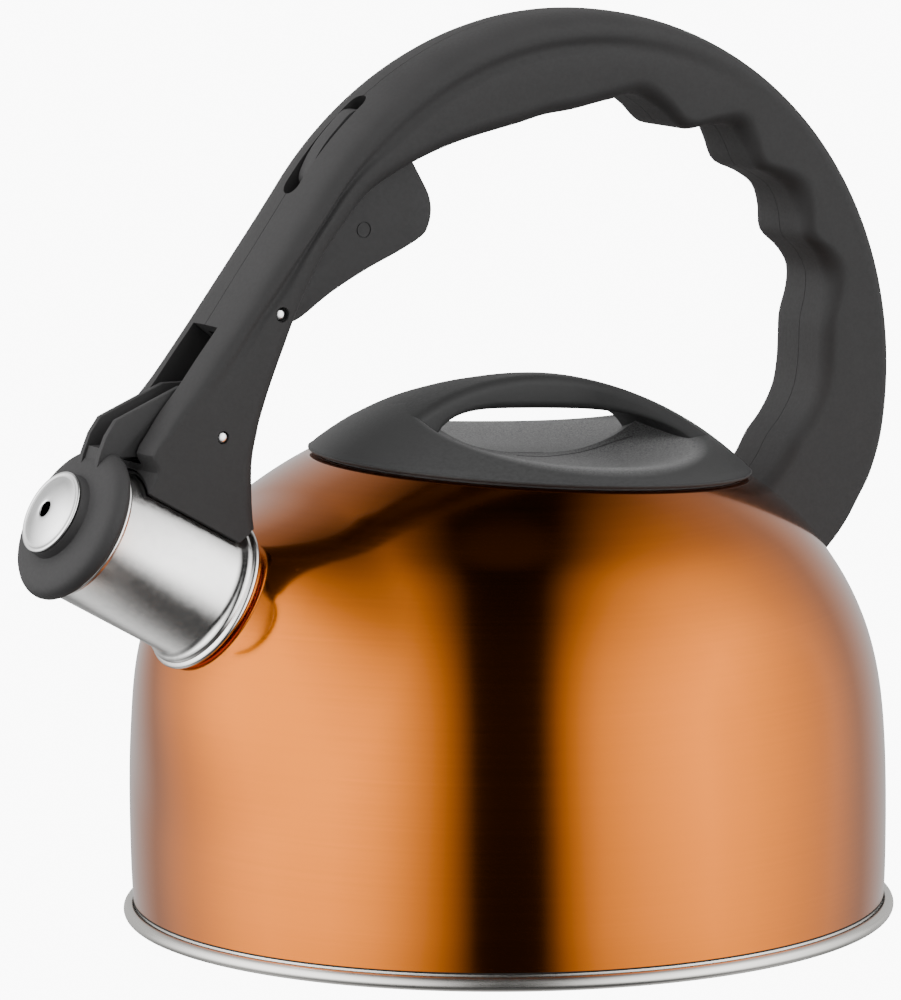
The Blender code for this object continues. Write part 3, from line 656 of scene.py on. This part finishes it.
def body_piece(looks):
    """Shell from the foot up to the lid's neck, down into it and back inside."""
    curve = meridian()
    inverse = SPOUT.inverted()
    lid_inverse = LID.inverted()
    angles = body_angles()
    start = 0
    while curve[start][1] < BASE_Z:
        start += 1
    middle = start
    while curve[middle][1] < 58.0:
        middle += 1
    tops = []
    for a in angles:
        low = float(middle)
        high = float(len(curve) - 1)
        for _ in range(30):
            mid = (low + high) / 2
            r, z = on_curve(curve, mid)[0]
            here = lid_inverse @ Vector((r * math.cos(a), r * math.sin(a), z))
            if here.z > SEAT:
                high = mid
            else:
                low = mid
        tops.append(low)

    def ring(at_of, offset, collar):
        row = []
        for a, top in zip(angles, tops):
            (r, z), (nr, nz) = on_curve(curve, at_of(top))
            r += nr * offset
            p = (r * math.cos(a), r * math.sin(a), z + nz * offset)
            row.append(raise_collar(p, inverse) if collar else p)
        return row

    rings = []
    for k in range(14):
        rings.append(ring(lambda top, k=k: start + (middle - start) * k / 14, 0.0, True))
    for k in range(89):
        rings.append(ring(lambda top, k=k: middle + (top - middle) * k / 88, 0.0, True))
    edge = rings[-1]

    def seat_ring(radius, height):
        row = []
        for p in edge:
            here = lid_inverse @ Vector(p)
            size = math.hypot(here.x, here.y)
            x = here.x / size * radius
            y = here.y / size * radius
            row.append(tuple(LID @ Vector((x, y, height))))
        return row

    for radius, height in (
        (50.0, SEAT), (49.3, SEAT - 0.15), (48.8, SEAT - 0.6), (MOUTH_R, SEAT - 1.2),
        (MOUTH_R, -8.6), (48.9, -9.0), (49.4, -8.6), (49.6, -2.6), (50.4, SEAT - 1.1),
        (56.6, SEAT - 1.1),
    ):
        rings.append(seat_ring(radius, height))
    for k in range(30):
        rings.append(ring(lambda top, k=k: top - 3.0 - (top - 3.0 - start) * k / 29, -SHELL_T, False))
    points, faces = skin(rings, True)
    body = make("body", points, faces, angle=50.0)
    cut(body, cylinder("bore", SPOUT, TUBE_R - TUBE_T, -74.0, -50.0, 96))
    tidy(body.data, 50.0)
    install(body, looks["copper"], "kettle", ["body_shell"])


def pan_piece(looks):
    """Pan with its rolled bead, and a dark ring of painted shade in the gap where the body enters it.
    """
    bead = []
    for k in range(25):
        a = math.radians(-155.0 + 290.0 * k / 24)
        bead.append((BEAD_R + BEAD_T * math.cos(a), BEAD_Z + BEAD_T * math.sin(a)))
    profile = [(0.0, 3.7), (96.6, 3.7), (97.2, 3.0)] + bead
    profile += [(98.4, 3.9), (98.3, 4.4), (97.9, 8.5), (97.2, 8.5), (97.0, 4.5), (0.0, 4.5)]
    # thin dark ring standing in for the shadow in the gap between the pan's bead and the body
    shade_outline = [(98.3, 4.5), (99.25, 4.5), (99.35, 4.95), (98.3, 4.95)]
    shade_ring = lathe("foot_painted_shade", shade_outline, segs=240)
    install(shade_ring, looks["seam_and_shade"], "kettle", [])
    pan = lathe("pan", profile, segs=240)
    install(pan, looks["pan"], "kettle", ["base_pan"])


# ---------------------------------------------------------------- spout

def spout_piece(looks):
    """Tube with a rolled lip at the mouth and a two-step flange at the body."""
    inner = TUBE_R - TUBE_T
    lip = [polar((18.45, -10.85), 0.55, a) for a in range(150, -91, -30)]
    flange = [
        (TUBE_R, -12.0), (TUBE_R, -30.0), (TUBE_R, -47.2), (18.5, -48.2), (19.1, -48.85),
        (19.6, -49.25), (19.85, -49.8), (19.9, -50.3), (19.85, -50.6), (20.2, -50.8),
        (20.65, -51.05), (20.9, -51.5), (20.9, -52.0), (20.6, -52.4),
    ]
    bore = [(inner, FLANGE_S), (inner, -30.0), (inner, -11.2)]
    profile = lip + flange + [(19.0, -52.3), (18.6, FLANGE_S)] + bore
    tube = lathe("spout", profile, SPOUT, 160, 60.0)
    install(tube, looks["spout"], "kettle", ["spout_tube"])


# ---------------------------------------------------------------- handle

def handle_stations():
    """Pairs of outer and inner points along the grip and down the front leg."""
    centre = (HANDLE_X, HANDLE_Z)
    pairs = []
    angle = GRIP_OUT[0][0]
    while angle < 145.0:
        outer = smooth_curve(GRIP_OUT, angle)
        inner = smooth_curve(GRIP_IN, angle)
        pairs.append((polar(centre, outer, angle), polar(centre, inner, angle)))
        angle += STATION_STEP
    outer_leg = spline([pairs[-1][0]] + [pair[0] for pair in LEG], 3)
    inner_leg = spline([pairs[-1][1]] + [pair[1] for pair in LEG], 3)
    return pairs[:-1] + list(zip(outer_leg, inner_leg))


# how deep the finger hollows reach into the sides, 0 at a ridge, by grip angle
HOLLOW = [
    (-36.0, 0.3), (-10.0, 0.3), (5.0, 0.2), (9.5, 0.2), (18.0, 0.8), (26.5, 0.0), (35.5, 0.8),
    (44.5, 0.0), (53.5, 0.8), (63.5, 0.0), (76.0, 0.6), (92.0, 0.4), (150.0, 0.45),
]


def handle_section(outer, inner, side, shape):
    """One side of a station: rounded crown, shallow valley, flat side, rounded inside."""
    crown, dish, under = shape
    out = Vector((outer[0], 0.0, outer[1]))
    inn = Vector((inner[0], 0.0, inner[1]))
    depth = (out - inn).length
    along = (out - inn) / depth
    flat = [(SPLIT, depth)]
    for k in range(1, 12):
        a = math.radians(90.0 * k / 11)
        y = HANDLE_W * math.sin(a) ** 0.80
        flat.append((y, depth - crown * (1.0 - math.cos(a) ** 0.86)))
    room = depth - crown - under
    valley = min(VALLEY, room * 0.8)
    for k in range(1, 9):
        sink = dish * math.sin(math.pi * k / 9) ** 2
        flat.append((HANDLE_W - sink, depth - crown - valley * k / 9))
    flat.append((HANDLE_W, depth - crown - valley - (room - valley) * 0.4))
    for k in range(11):
        a = math.radians(90.0 * k / 10)
        narrow = (under / 12.0) * (1.0 - math.cos(a))
        flat.append((HANDLE_W * (1.0 - narrow), under - under * math.sin(a)))
    flat.append((SPLIT, 0.0))
    section = []
    for y, d in flat:
        p = inn + along * d
        section.append((p.x, side * max(y, SPLIT), p.z))
    return section


def trigger_cavity():
    """Room for the lever between the two halves."""
    outline = [
        (-81.3, 170.0), (-63.8, 192.6), (-40.0, 214.0), (-33.2, 211.5),
        (-20.0, 199.0), (-16.0, 180.0), (-50.0, 158.0), (-66.5, 156.0),
        (-71.6, 160.2), (-74.5, 157.2), (-77.4, 150.6), (-80.8, 141.6),
        (-84.0, 138.0), (-97.0, 141.0), (-96.5, 149.5), (-86.0, 164.0),
    ]
    return prism("cavity", outline, -TRIGGER_SLOT, TRIGGER_SLOT)


def top_slot():
    """Round-ended slot in the handle's back, for the lever's fin."""
    first = Vector((-65.6, 0.0, 195.2))
    second = Vector((-41.9, 0.0, 218.9))
    along = (second - first).normalized()
    out = Vector((-along.z, 0.0, along.x))
    half = TRIGGER_SLOT + 0.2
    length = (second - first).length
    ring = []
    for k in range(17):
        a = math.radians(90.0 + 180.0 * k / 16)
        ring.append((half + half * math.cos(a), half * math.sin(a)))
    for k in range(17):
        a = math.radians(-90.0 + 180.0 * k / 16)
        ring.append((length - half + half * math.cos(a), half * math.sin(a)))
    sections = []
    for depth in (-13.0, 9.0):
        section = []
        for u, v in ring:
            p = first + along * u + out * depth
            section.append((p.x, v, p.z))
        sections.append(section)
    return loft("slot", sections)


def arm_pocket():
    """Open pocket at the front, for the cap's cheeks."""
    outline = [
        (-96.6, 168.4), (-78.5, 153.9), (-80.9, 146.5), (-81.7, 142.3),
        (-83.6, 136.0), (-86.6, 127.0), (-113.0, 130.2), (-126.0, 131.8),
        (-126.0, 168.4),
    ]
    return prism("pocket", outline, -POCKET, POCKET)


def body_room(offset):
    """The body's outline, grown by offset, to trim the handle's feet."""
    curve = meridian()
    profile = [(0.0, 0.0)]
    for i in range(0, len(curve), 8):
        (r, z), (nr, nz) = on_curve(curve, i)
        profile.append((max(r + nr * offset, 0.0), z + nz * offset))
    profile.append((0.0, DOME_Z + DOME_R + offset))
    return lathe("room", profile, segs=120)


def handle_half(name, side):
    """One half, from the rear foot over the grip to the spout; side is -1 near, 1 far."""
    sections = []
    for outer, inner in handle_stations():
        angle = math.degrees(math.atan2(outer[1] - HANDLE_Z, outer[0] - HANDLE_X))
        front = smoothstep((angle - 50.0) / 45.0)
        low = smoothstep((outer[1] - 124.0) / 34.0) if outer[0] < -60.0 else 1.0
        foot = smoothstep((outer[1] - 140.0) / 35.0) if outer[0] < -60.0 else 1.0
        crown = (CROWN + CROWN_FRONT * front) * (0.25 + 0.75 * low)
        under = UNDER + UNDER_HOLLOW * smooth_curve(HOLLOW, angle)
        shape = (crown, VALLEY_SINK * front * foot, under)
        sections.append(handle_section(outer, inner, side, shape))
    half = loft(name, sections)
    cut(half, trigger_cavity(), top_slot(), arm_pocket(), body_room(1.3))
    room = [
        (0.0, MOUTH_S + 1.0), (19.4, MOUTH_S + 1.0), (19.4, -47.0),
        (22.5, -49.0), (22.5, -64.0), (0.0, -64.0),
    ]
    cut(half, lathe("spout_room", room, SPOUT, 120))
    for pin in (TRIGGER_PIN, CAP_PIN):
        cut(half, cross_pin("pin_hole", pin, PIN_R + 0.2, -THROUGH, THROUGH))
    if side < 0:
        cut(half, cross_pin("recess", TRIGGER_PIN, PIN_R + 0.5, -THROUGH, -11.6))
    else:
        spots = [polar((HANDLE_X, HANDLE_Z), r, a) for a, r in GRIP_SCREWS]
        for spot in spots + [FRONT_SCREW, REAR_SCREW]:
            cut(half, cross_pin("hole", spot, 1.8, -9.6, THROUGH, 24))
            cut(half, cross_pin("bore", spot, 3.3, 10.4, THROUGH, 32))
        cut(half, cross_pin("coil_room", TRIGGER_PIN, 5.3, 2.0, 9.0))
    return half


def handle_pieces(looks):
    near = handle_half("handle_near", -1.0)
    far = handle_half("handle_far", 1.0)
    install(near, looks["handle"], "kettle", ["handle_near_half"])
    install(far, looks["handle"], "kettle", ["handle_far_half"])


def dome_pin(name, spot, near, far):
    """Drawn pin with a domed near end and a flat far end."""
    profile = [(0.0, near)]
    for k in range(1, 7):
        a = math.radians(90.0 * k / 6)
        profile.append((PIN_R * math.sin(a), near + 0.7 * (1.0 - math.cos(a))))
    profile += [(PIN_R, far - 0.3), (PIN_R - 0.3, far), (0.0, far)]
    return lathe(name, profile, cross_place(spot), 40, 50.0)


def pin_pieces(looks):
    first = dome_pin("trigger_pin_drawn", TRIGGER_PIN, -12.3, 12.3)
    second = dome_pin("cap_pin_drawn", CAP_PIN, -12.95, 12.9)
    install(first, looks["pin"], "kettle", ["trigger_pin"])
    install(second, looks["pin"], "kettle", ["cap_pin"])


# ---------------------------------------------------------------- linkage

def trigger_piece(looks):
    """Lever with its fin, finger paddle and fork, drawn round the trigger pin."""
    p = TRIGGER_PIN
    fork = 232.5
    blade = [
        polar(p, 5.2, 150.0), polar(p, 7.2, 112.0), polar(p, 14.0, 68.0),
        polar(p, 24.0, 54.0), polar(p, 32.4, 49.5), polar(p, 33.2, 60.0),
        polar(p, 35.5, 66.2), polar(p, 40.0, 66.6), polar(p, 46.0, 65.0),
        polar(p, 52.0, 62.6), polar(p, 56.0, 61.0), polar(p, 58.0, 58.8),
        polar(p, 58.8, 55.5), polar(p, 59.2, 50.0), polar(p, 59.2, 44.0),
        polar(p, 57.9, 38.0), polar(p, 57.4, 33.0), polar(p, 57.2, 28.0),
        polar(p, 56.6, 25.0), polar(p, 55.6, 22.6), polar(p, 53.8, 20.0),
        polar(p, 51.0, 17.9), polar(p, 43.0, 16.4), polar(p, 32.1, 14.5),
        polar(p, 20.6, 7.8), polar(p, 12.0, -13.0), polar(p, 8.0, -32.0),
        polar(p, 5.6, -62.0),
    ]
    fork_end = [
        polar(p, 12.0, fork + 14.0), polar(p, 19.5, fork + 9.4),
        polar(p, 22.0, fork + 10.6), polar(p, 28.4, fork + 8.0),
        polar(p, 28.4, fork + 3.9), polar(p, 23.6, fork + 4.7),
        polar(p, 22.6, fork + 2.6), polar(p, 22.6, fork - 2.6),
        polar(p, 23.6, fork - 4.7), polar(p, 28.4, fork - 3.9),
        polar(p, 28.4, fork - 8.4), polar(p, 22.0, fork - 11.0),
        polar(p, 12.0, fork - 17.0), polar(p, 6.0, fork - 40.0),
    ]
    outline = spline(blade[:5], 3) + spline(blade[5:], 3) + fork_end
    lever = prism("trigger", outline, -TRIGGER_T, TRIGGER_T)
    cut(lever, cross_pin("bore", p, PIN_R + PIN_PLAY, -6.0, 6.0))
    bevel(lever, 0.45, 50.0, 3)
    mark = cross_place(polar(p, 36.0, 31.0))
    floor_y = -TRIGGER_T + 0.25
    groove = [(1.85, -3.0), (2.15, -3.0), (2.15, floor_y), (1.85, floor_y)]
    cut(lever, lathe("groove", groove, mark, 40))
    install(lever, looks["lever"], "trigger", ["trigger_lever"])


def cap_piece(looks):
    """Ring round the whistle, with two cheeks and the web between them."""
    shell = [
        (9.3, -9.9), (19.4, -9.9), (20.1, -9.6), (20.6, -9.0), (20.8, -8.2), (20.7, -7.3),
        (20.3, -6.4), (19.6, -5.6), (18.5, -4.95), (17.0, -4.45), (15.0, -4.0), (13.0, -3.75),
        (12.0, -3.6), (11.65, -3.4), (11.5, -3.0), (11.4, -1.3), (11.2, -1.0), (9.3, -0.9),
    ]
    ring = lathe("ring", shell, SPOUT, 128, 40.0)
    peg = polar(CAP_PIN, PEG_ARM, PEG_ANGLE)
    outline = [
        (-126.4, 127.6), (-124.8, 133.0), (-122.6, 138.0), (-119.6, 141.9), (-101.1, 149.0),
    ]
    outline += arc(peg, 3.4, 112.0, -12.0, 12)
    outline += arc(CAP_PIN, 4.3, 12.0, -95.0, 12)
    outline += [
        (-104.0, 131.3), (-112.0, 131.9), (-118.4, 132.2), (-120.4, 130.2), (-122.5, 127.5),
    ]
    pieces = [ring]
    for side in (-1.0, 1.0):
        y0 = CHEEK_IN * side
        y1 = CHEEK_OUT * side
        cheek = prism("cheek", outline, min(y0, y1), max(y0, y1))
        cut(cheek, cross_pin("bore", CAP_PIN, PIN_R + PIN_PLAY, -9.0, 9.0))
        pieces.append(bevel(cheek, 0.3, 40.0, 2))
    web = [
        (-124.4, 131.6), (-119.4, 131.6), (-112.0, 131.9), (-104.0, 131.4),
        (-101.0, 131.6), (-101.0, 133.6), (-112.0, 134.2), (-118.0, 134.6),
        (-123.2, 134.8),
    ]
    pieces.append(prism("web", web, -CHEEK_IN - 0.4, CHEEK_IN + 0.4))
    cap = weld("cap", pieces)
    install(cap, looks["lever"], "cap", ["cap_lever"])


def whistle_piece(looks):
    """Domed disc with a rolled rim and the whistle's hole."""
    face = [
        (2.1, 1.35), (5.0, 1.0), (9.2, -0.6), (11.0, -0.75), (11.15, -0.45), (11.15, -0.2),
        (11.0, -0.03), (10.75, 0.08), (10.4, 0.1), (10.15, 0.0), (9.85, -0.06), (9.4, 0.05),
        (8.4, 0.53), (7.0, 1.0), (5.4, 1.42), (3.8, 1.7), (2.7, 1.8), (2.3, 1.74), (2.1, 1.55),
    ]
    disc = lathe("whistle_disc", face, SPOUT, 96, 50.0)
    install(disc, looks["disc"], "cap", ["whistle_face"])


# ---------------------------------------------------------------- lid

def dome_height(r):
    """Height of the lid's dome at a radius, as part of a sphere."""
    rise = LID_H - LID_EDGE
    radius = (LID_R ** 2 + rise ** 2) / (2.0 * rise)
    return math.sqrt(radius ** 2 - r ** 2) - radius + LID_H


def scoop_height(x, y):
    """Height of the lower of the two scoops over (x, y), or a large number."""
    best = 99.0
    for side in (1.0, -1.0):
        rho = math.hypot(x + SCOOP_C[0] * side, y + SCOOP_C[1] * side)
        t = rho / SCOOP_R
        if t < 1.6:
            rim = dome_height(min(math.hypot(x, y), LID_R))
            best = min(best, FLOOR + (rim - FLOOR) * t ** 4)
    return best


def lid_shell():
    """Height field of dome and scoops over a disc, closed by a flat underside."""
    segs = 300
    radii = [0.55 * k for k in range(1, 105)] + [57.7, 58.1, 58.35, LID_R]
    rings = []
    for r in radii:
        row = []
        for x, y, _ in circle(r, 0.0, segs):
            z = soft_min(dome_height(r), scoop_height(x, y), 1.1)
            row.append((x, y, max(z, 0.75)))
        rings.append(row)
    for r, z in ((LID_R, 0.35), (LID_R - 0.3, 0.05), (50.0, 0.0), (20.0, 0.0), (0.5, 0.0)):
        rings.append(circle(r, z, segs))
    points, faces = skin(rings, False)
    top = len(points)
    points.append((0.0, 0.0, scoop_height(0.0, 0.0)))
    points.append((0.0, 0.0, 0.0))
    last = (len(rings) - 1) * segs
    for k in range(segs):
        n = (k + 1) % segs
        faces.append((top, n, k))
        faces.append((top + 1, last + k, last + n))
    return make("lid_shell", points, faces, LID, 60.0)


ARCH_EDGE = [
    (-60.0, -11.0), (-43.0, -9.0), (-25.0, -6.2), (-8.0, -5.4),
    (4.0, -6.0), (15.0, -9.0), (25.0, -16.5), (33.0, -26.5), (39.0, -34.0),
]
SEAM_PATH = [(-6.0, -3.0), (1.2, -4.5), (8.0, -4.0), (17.0, -4.3), (22.6, -5.3), (27.0, -7.6)]


def arch_bar():
    """Bar over the two scoops, its top in line with the dome."""
    sections = []
    stations = [-44.0 + 0.8 * k for k in range(111)]
    for x in stations:
        limit = math.sqrt(49.0 ** 2 - x ** 2)
        near = max(smooth_curve(ARCH_EDGE, x), -limit)
        far = min(-smooth_curve(ARCH_EDGE, -x), limit)
        t = max(1.0 - (abs(x) / (ARCH_HALF + 2.0)) ** 5, 0.0)
        under = FLOOR + (ARCH_CLEAR - 0.4) * math.sqrt(t) - 0.9
        section = []
        for k in range(21):
            y = near + (far - near) * (0.5 - 0.5 * math.cos(math.pi * k / 20))
            edge = max(min(y - near, far - y), 0.0)
            drop = 0.0
            if edge < ARCH_ROUND:
                drop = ARCH_ROUND - math.sqrt(max(ARCH_ROUND ** 2 - (ARCH_ROUND - edge) ** 2, 0.0))
            section.append((x, y, dome_height(math.hypot(x, y)) - drop * 0.85 - 0.02))
        side = max(min(2.2, (section[0][2] - under) * 0.45), 0.2)
        for k in range(7):
            a = math.radians(90.0 * k / 6)
            y = far - side * (1.0 - math.cos(a))
            section.append((x, y, under + side * (1.0 - math.sin(a))))
        for k in range(7):
            a = math.radians(90.0 - 90.0 * k / 6)
            y = near + side * (1.0 - math.cos(a))
            section.append((x, y, under + side * (1.0 - math.sin(a))))
        sections.append(section)
    return loft("lid_arch", sections, LID, 60.0)


def lid_seam():
    """Fine moulding line on the scoop floor below each edge of the bar."""
    pieces = []
    for turn in (1.0, -1.0):
        sections = []
        for x, y in spline(SEAM_PATH, 8):
            z = scoop_height(x, y) + 0.02
            ring = []
            for k in range(6):
                a = 2.0 * math.pi * k / 6
                ring.append((turn * x, turn * (y + 0.22 * math.cos(a)), z + 0.06 * math.sin(a)))
            sections.append(ring)
        pieces.append(loft("seam_and_shade", sections, LID, 60.0))
    return weld("lid_seam", pieces)


def lid_pieces(looks):
    install(lid_shell(), looks["lid_shell"], "lid", ["lid_cover"])
    install(arch_bar(), looks["lid"], "lid", [])
    install(lid_seam(), looks["seam_and_shade"], "lid", [])


# ---------------------------------------------------------------- CAD nodes

def dress_nodes(frame, looks):
    """Looks of the CAD's own nodes, shown where no drawn piece stands for them."""
    table = {
        "heat_disc": "alloy", "base_cover": "cover", "grip_screw_front": "pin",
        "grip_screw_rear": "pin", "front_foot_screw": "pin", "rear_foot_screw": "pin",
        "front_bracket": "sheet", "rear_bracket": "sheet", "front_gasket": "rubber",
        "rear_gasket": "rubber", "return_spring": "pin", "drive_peg": "pin",
        "cap_gasket": "silicone", "whistle_plate": "disc", "lid_plate": "sheet",
        "lid_seal": "silicone", "lid_screw_front": "pin", "lid_screw_rear": "pin",
        "body_shell": "copper", "base_pan": "pan", "spout_tube": "spout",
        "handle_near_half": "handle", "handle_far_half": "handle",
        "trigger_lever": "lever", "cap_lever": "lever", "trigger_pin": "pin",
        "cap_pin": "pin", "whistle_face": "disc", "lid_cover": "lid",
    }
    for name, look in table.items():
        for slot in frame["nodes"][name].material_slots:
            slot.material = looks[look]


# ---------------------------------------------------------------- studio

CAM_AZ = math.radians(32.0)
CAM_EL = math.radians(9.05)
CAM_ROLL = math.radians(-0.51)
CAM_FAR = 2000.0
CAM_RIGHT = -14.4
CAM_UP = 108.6
SENSOR = 36.0
VIEW_SPAN = 264.971
STUDIO_LIGHT = 4.1
WHITE = 10.0


def camera():
    """Camera far off on the -Y side, turned toward the spout; the frame is VIEW_SPAN tall."""
    view = Vector((
        -math.sin(CAM_AZ) * math.cos(CAM_EL),
        -math.cos(CAM_AZ) * math.cos(CAM_EL),
        math.sin(CAM_EL),
    ))
    right = (-view).cross(Vector((0.0, 0.0, 1.0))).normalized()
    up = right.cross(-view)
    place = (view * CAM_FAR + right * CAM_RIGHT + up * CAM_UP) * MM
    tilted_right = right * math.cos(CAM_ROLL) + up * math.sin(CAM_ROLL)
    tilted_up = up * math.cos(CAM_ROLL) - right * math.sin(CAM_ROLL)
    matrix = Matrix((tilted_right, tilted_up, view)).transposed().to_4x4()
    matrix.translation = place
    data = bpy.data.cameras.new("camera")
    data.sensor_width = SENSOR
    data.lens = SENSOR * CAM_FAR / VIEW_SPAN
    data.clip_start = 0.01
    data.clip_end = 60.0
    obj = bpy.data.objects.new("camera", data)
    bpy.context.scene.collection.objects.link(obj)
    obj.matrix_world = matrix
    bpy.context.scene.camera = obj


# brightness of the studio's wall by direction, each over -1 to 1:
# across the view, toward the camera, and up; GROUND is the table below, by nearness
LATERAL = [
    (-1.0, 1.0), (-0.80, 0.97), (-0.64, 0.78), (-0.46, 0.46), (-0.30, 0.19),
    (-0.225, 0.075), (-0.17, 0.007), (0.16, 0.007), (0.22, 0.07), (0.28, 0.19),
    (0.46, 0.52), (0.66, 0.72), (0.88, 0.92), (1.0, 0.72),
]
DEPTH = [(-1.0, 0.20), (-0.70, 0.20), (-0.34, 0.48), (0.0, 0.86), (0.2, 1.0), (1.0, 1.0)]
RISE = [
    (-1.0, 0.03), (-0.70, 0.08), (-0.50, 0.36), (-0.32, 0.80), (-0.15, 0.97), (0.0, 1.0),
    (0.30, 1.0), (0.56, 0.92), (0.75, 0.75), (0.93, 0.44), (1.0, 0.22),
]
GROUND = [(-1.0, 0.30), (-0.5, 0.24), (0.0, 0.07), (0.3, 0.02), (1.0, 0.02)]


class Studio:
    """World made of soft panels, given by direction."""

    def __init__(self):
        world = bpy.data.worlds.new("studio")
        bpy.context.scene.world = world
        world.use_nodes = True
        self.nodes = world.node_tree.nodes
        self.links = world.node_tree.links
        self.nodes.clear()

    def math(self, operation, first, second, third=0.0):
        node = self.nodes.new("ShaderNodeMath")
        node.operation = operation
        for socket, value in zip(node.inputs, (first, second, third)):
            if isinstance(value, float):
                socket.default_value = value
            else:
                self.links.new(value, socket)
        return node.outputs[0]

    def ramp(self, source, stops):
        """Stops are given over -1 to 1."""
        node = self.nodes.new("ShaderNodeValToRGB")
        node.color_ramp.interpolation = "LINEAR"
        elements = node.color_ramp.elements
        for at, value in stops[1:-1]:
            elements.new(0.5 + 0.5 * at)
        for element, (at, value) in zip(elements, stops):
            element.color = (value, value, value, 1.0)
        self.links.new(self.math("MULTIPLY_ADD", source, 0.5, 0.5), node.inputs["Fac"])
        return node.outputs["Color"]

    def smooth(self, source, low, high):
        """0 to 1 in a soft step from low to high."""
        node = self.nodes.new("ShaderNodeMapRange")
        node.interpolation_type = "SMOOTHSTEP"
        node.inputs["From Min"].default_value = low
        node.inputs["From Max"].default_value = high
        self.links.new(source, node.inputs["Value"])
        return node.outputs["Result"]

    def mix(self, factor, first, second):
        part = self.math("SUBTRACT", second, first)
        return self.math("MULTIPLY_ADD", part, factor, first)

    def background(self, color, strength):
        node = self.nodes.new("ShaderNodeBackground")
        node.inputs["Strength"].default_value = strength
        if color is not None:
            self.links.new(color, node.inputs["Color"])
        else:
            node.inputs["Color"].default_value = (1.0, 1.0, 1.0, 1.0)
        return node.outputs[0]


def studio_world():
    """Bright panels left and right of the camera, a dark gap between and overhead."""
    s = Studio()
    coords = s.nodes.new("ShaderNodeTexCoord")
    turn = s.nodes.new("ShaderNodeMapping")
    turn.inputs["Rotation"].default_value = (0.0, 0.0, CAM_AZ)
    split = s.nodes.new("ShaderNodeSeparateXYZ")
    s.links.new(coords.outputs["Generated"], turn.inputs["Vector"])
    s.links.new(turn.outputs["Vector"], split.inputs["Vector"])
    side = split.outputs["X"]
    near = s.math("MULTIPLY", split.outputs["Y"], -1.0)
    up = split.outputs["Z"]
    panels = s.ramp(side, LATERAL)
    panels = s.mix(s.smooth(near, -0.45, -0.85), panels, 0.9)
    panels = s.mix(s.smooth(up, 0.97, 1.0), panels, s.math("MAXIMUM", panels, 0.06))
    wall = s.math("MULTIPLY", s.math("MULTIPLY", panels, s.ramp(near, DEPTH)), s.ramp(up, RISE))
    light = s.mix(s.smooth(up, -0.5, -0.85), wall, s.ramp(near, GROUND))
    rays = s.nodes.new("ShaderNodeLightPath")
    choose = s.nodes.new("ShaderNodeMixShader")
    s.links.new(rays.outputs["Is Camera Ray"], choose.inputs["Fac"])
    s.links.new(s.background(light, STUDIO_LIGHT), choose.inputs[1])
    s.links.new(s.background(None, WHITE), choose.inputs[2])
    output = s.nodes.new("ShaderNodeOutputWorld")
    s.links.new(choose.outputs[0], output.inputs["Surface"])


def panel(name, place, target, size, power):
    """Area light for the dull surfaces only."""
    data = bpy.data.lights.new(name, "AREA")
    data.shape = "DISK"
    data.size = size
    data.energy = power
    obj = bpy.data.objects.new(name, data)
    bpy.context.scene.collection.objects.link(obj)
    obj.location = place
    aim = Vector(target) - Vector(place)
    obj.rotation_euler = aim.to_track_quat("-Z", "Y").to_euler()
    obj.visible_glossy = False
    obj.visible_camera = False


def floor():
    """Table that takes shadow light but reads as white to the camera."""
    size = 12.0
    mesh = bpy.data.meshes.new("floor")
    corners = [(-size, -size, 0.0), (size, -size, 0.0), (size, size, 0.0), (-size, size, 0.0)]
    mesh.from_pydata(corners, [], [(0, 1, 2, 3)])
    obj = bpy.data.objects.new("floor", mesh)
    bpy.context.scene.collection.objects.link(obj)
    obj.location = (0.0, 0.0, -0.0003)
    more = {"Specular IOR Level": 0.0}
    mat, n = new_material("floor_look", (0.35, 0.35, 0.35), 0.0, 0.9, **more)
    glow = n.add("ShaderNodeEmission", Strength=WHITE)
    rays = n.add("ShaderNodeLightPath")
    choose = n.add("ShaderNodeMixShader")
    n.link(rays.outputs["Is Camera Ray"], choose.inputs[0])
    n.link(n.shader.outputs[0], choose.inputs[1])
    n.link(glow.outputs[0], choose.inputs[2])
    n.link(choose.outputs[0], mat.node_tree.nodes.get("Material Output").inputs["Surface"])
    mesh.materials.append(mat)
    obj.visible_glossy = False


# ---------------------------------------------------------------- assembly


def main():
    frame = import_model()
    looks = build_materials()
    dress_nodes(frame, looks)
    body_piece(looks)
    pan_piece(looks)
    spout_piece(looks)
    handle_pieces(looks)
    pin_pieces(looks)
    trigger_piece(looks)
    cap_piece(looks)
    whistle_piece(looks)
    lid_pieces(looks)
    camera()
    studio_world()
    panel("over", (-0.8, 0.0, 1.35), (0.0, 0.0, 0.15), 1.0, 26.0)
    floor()


main()
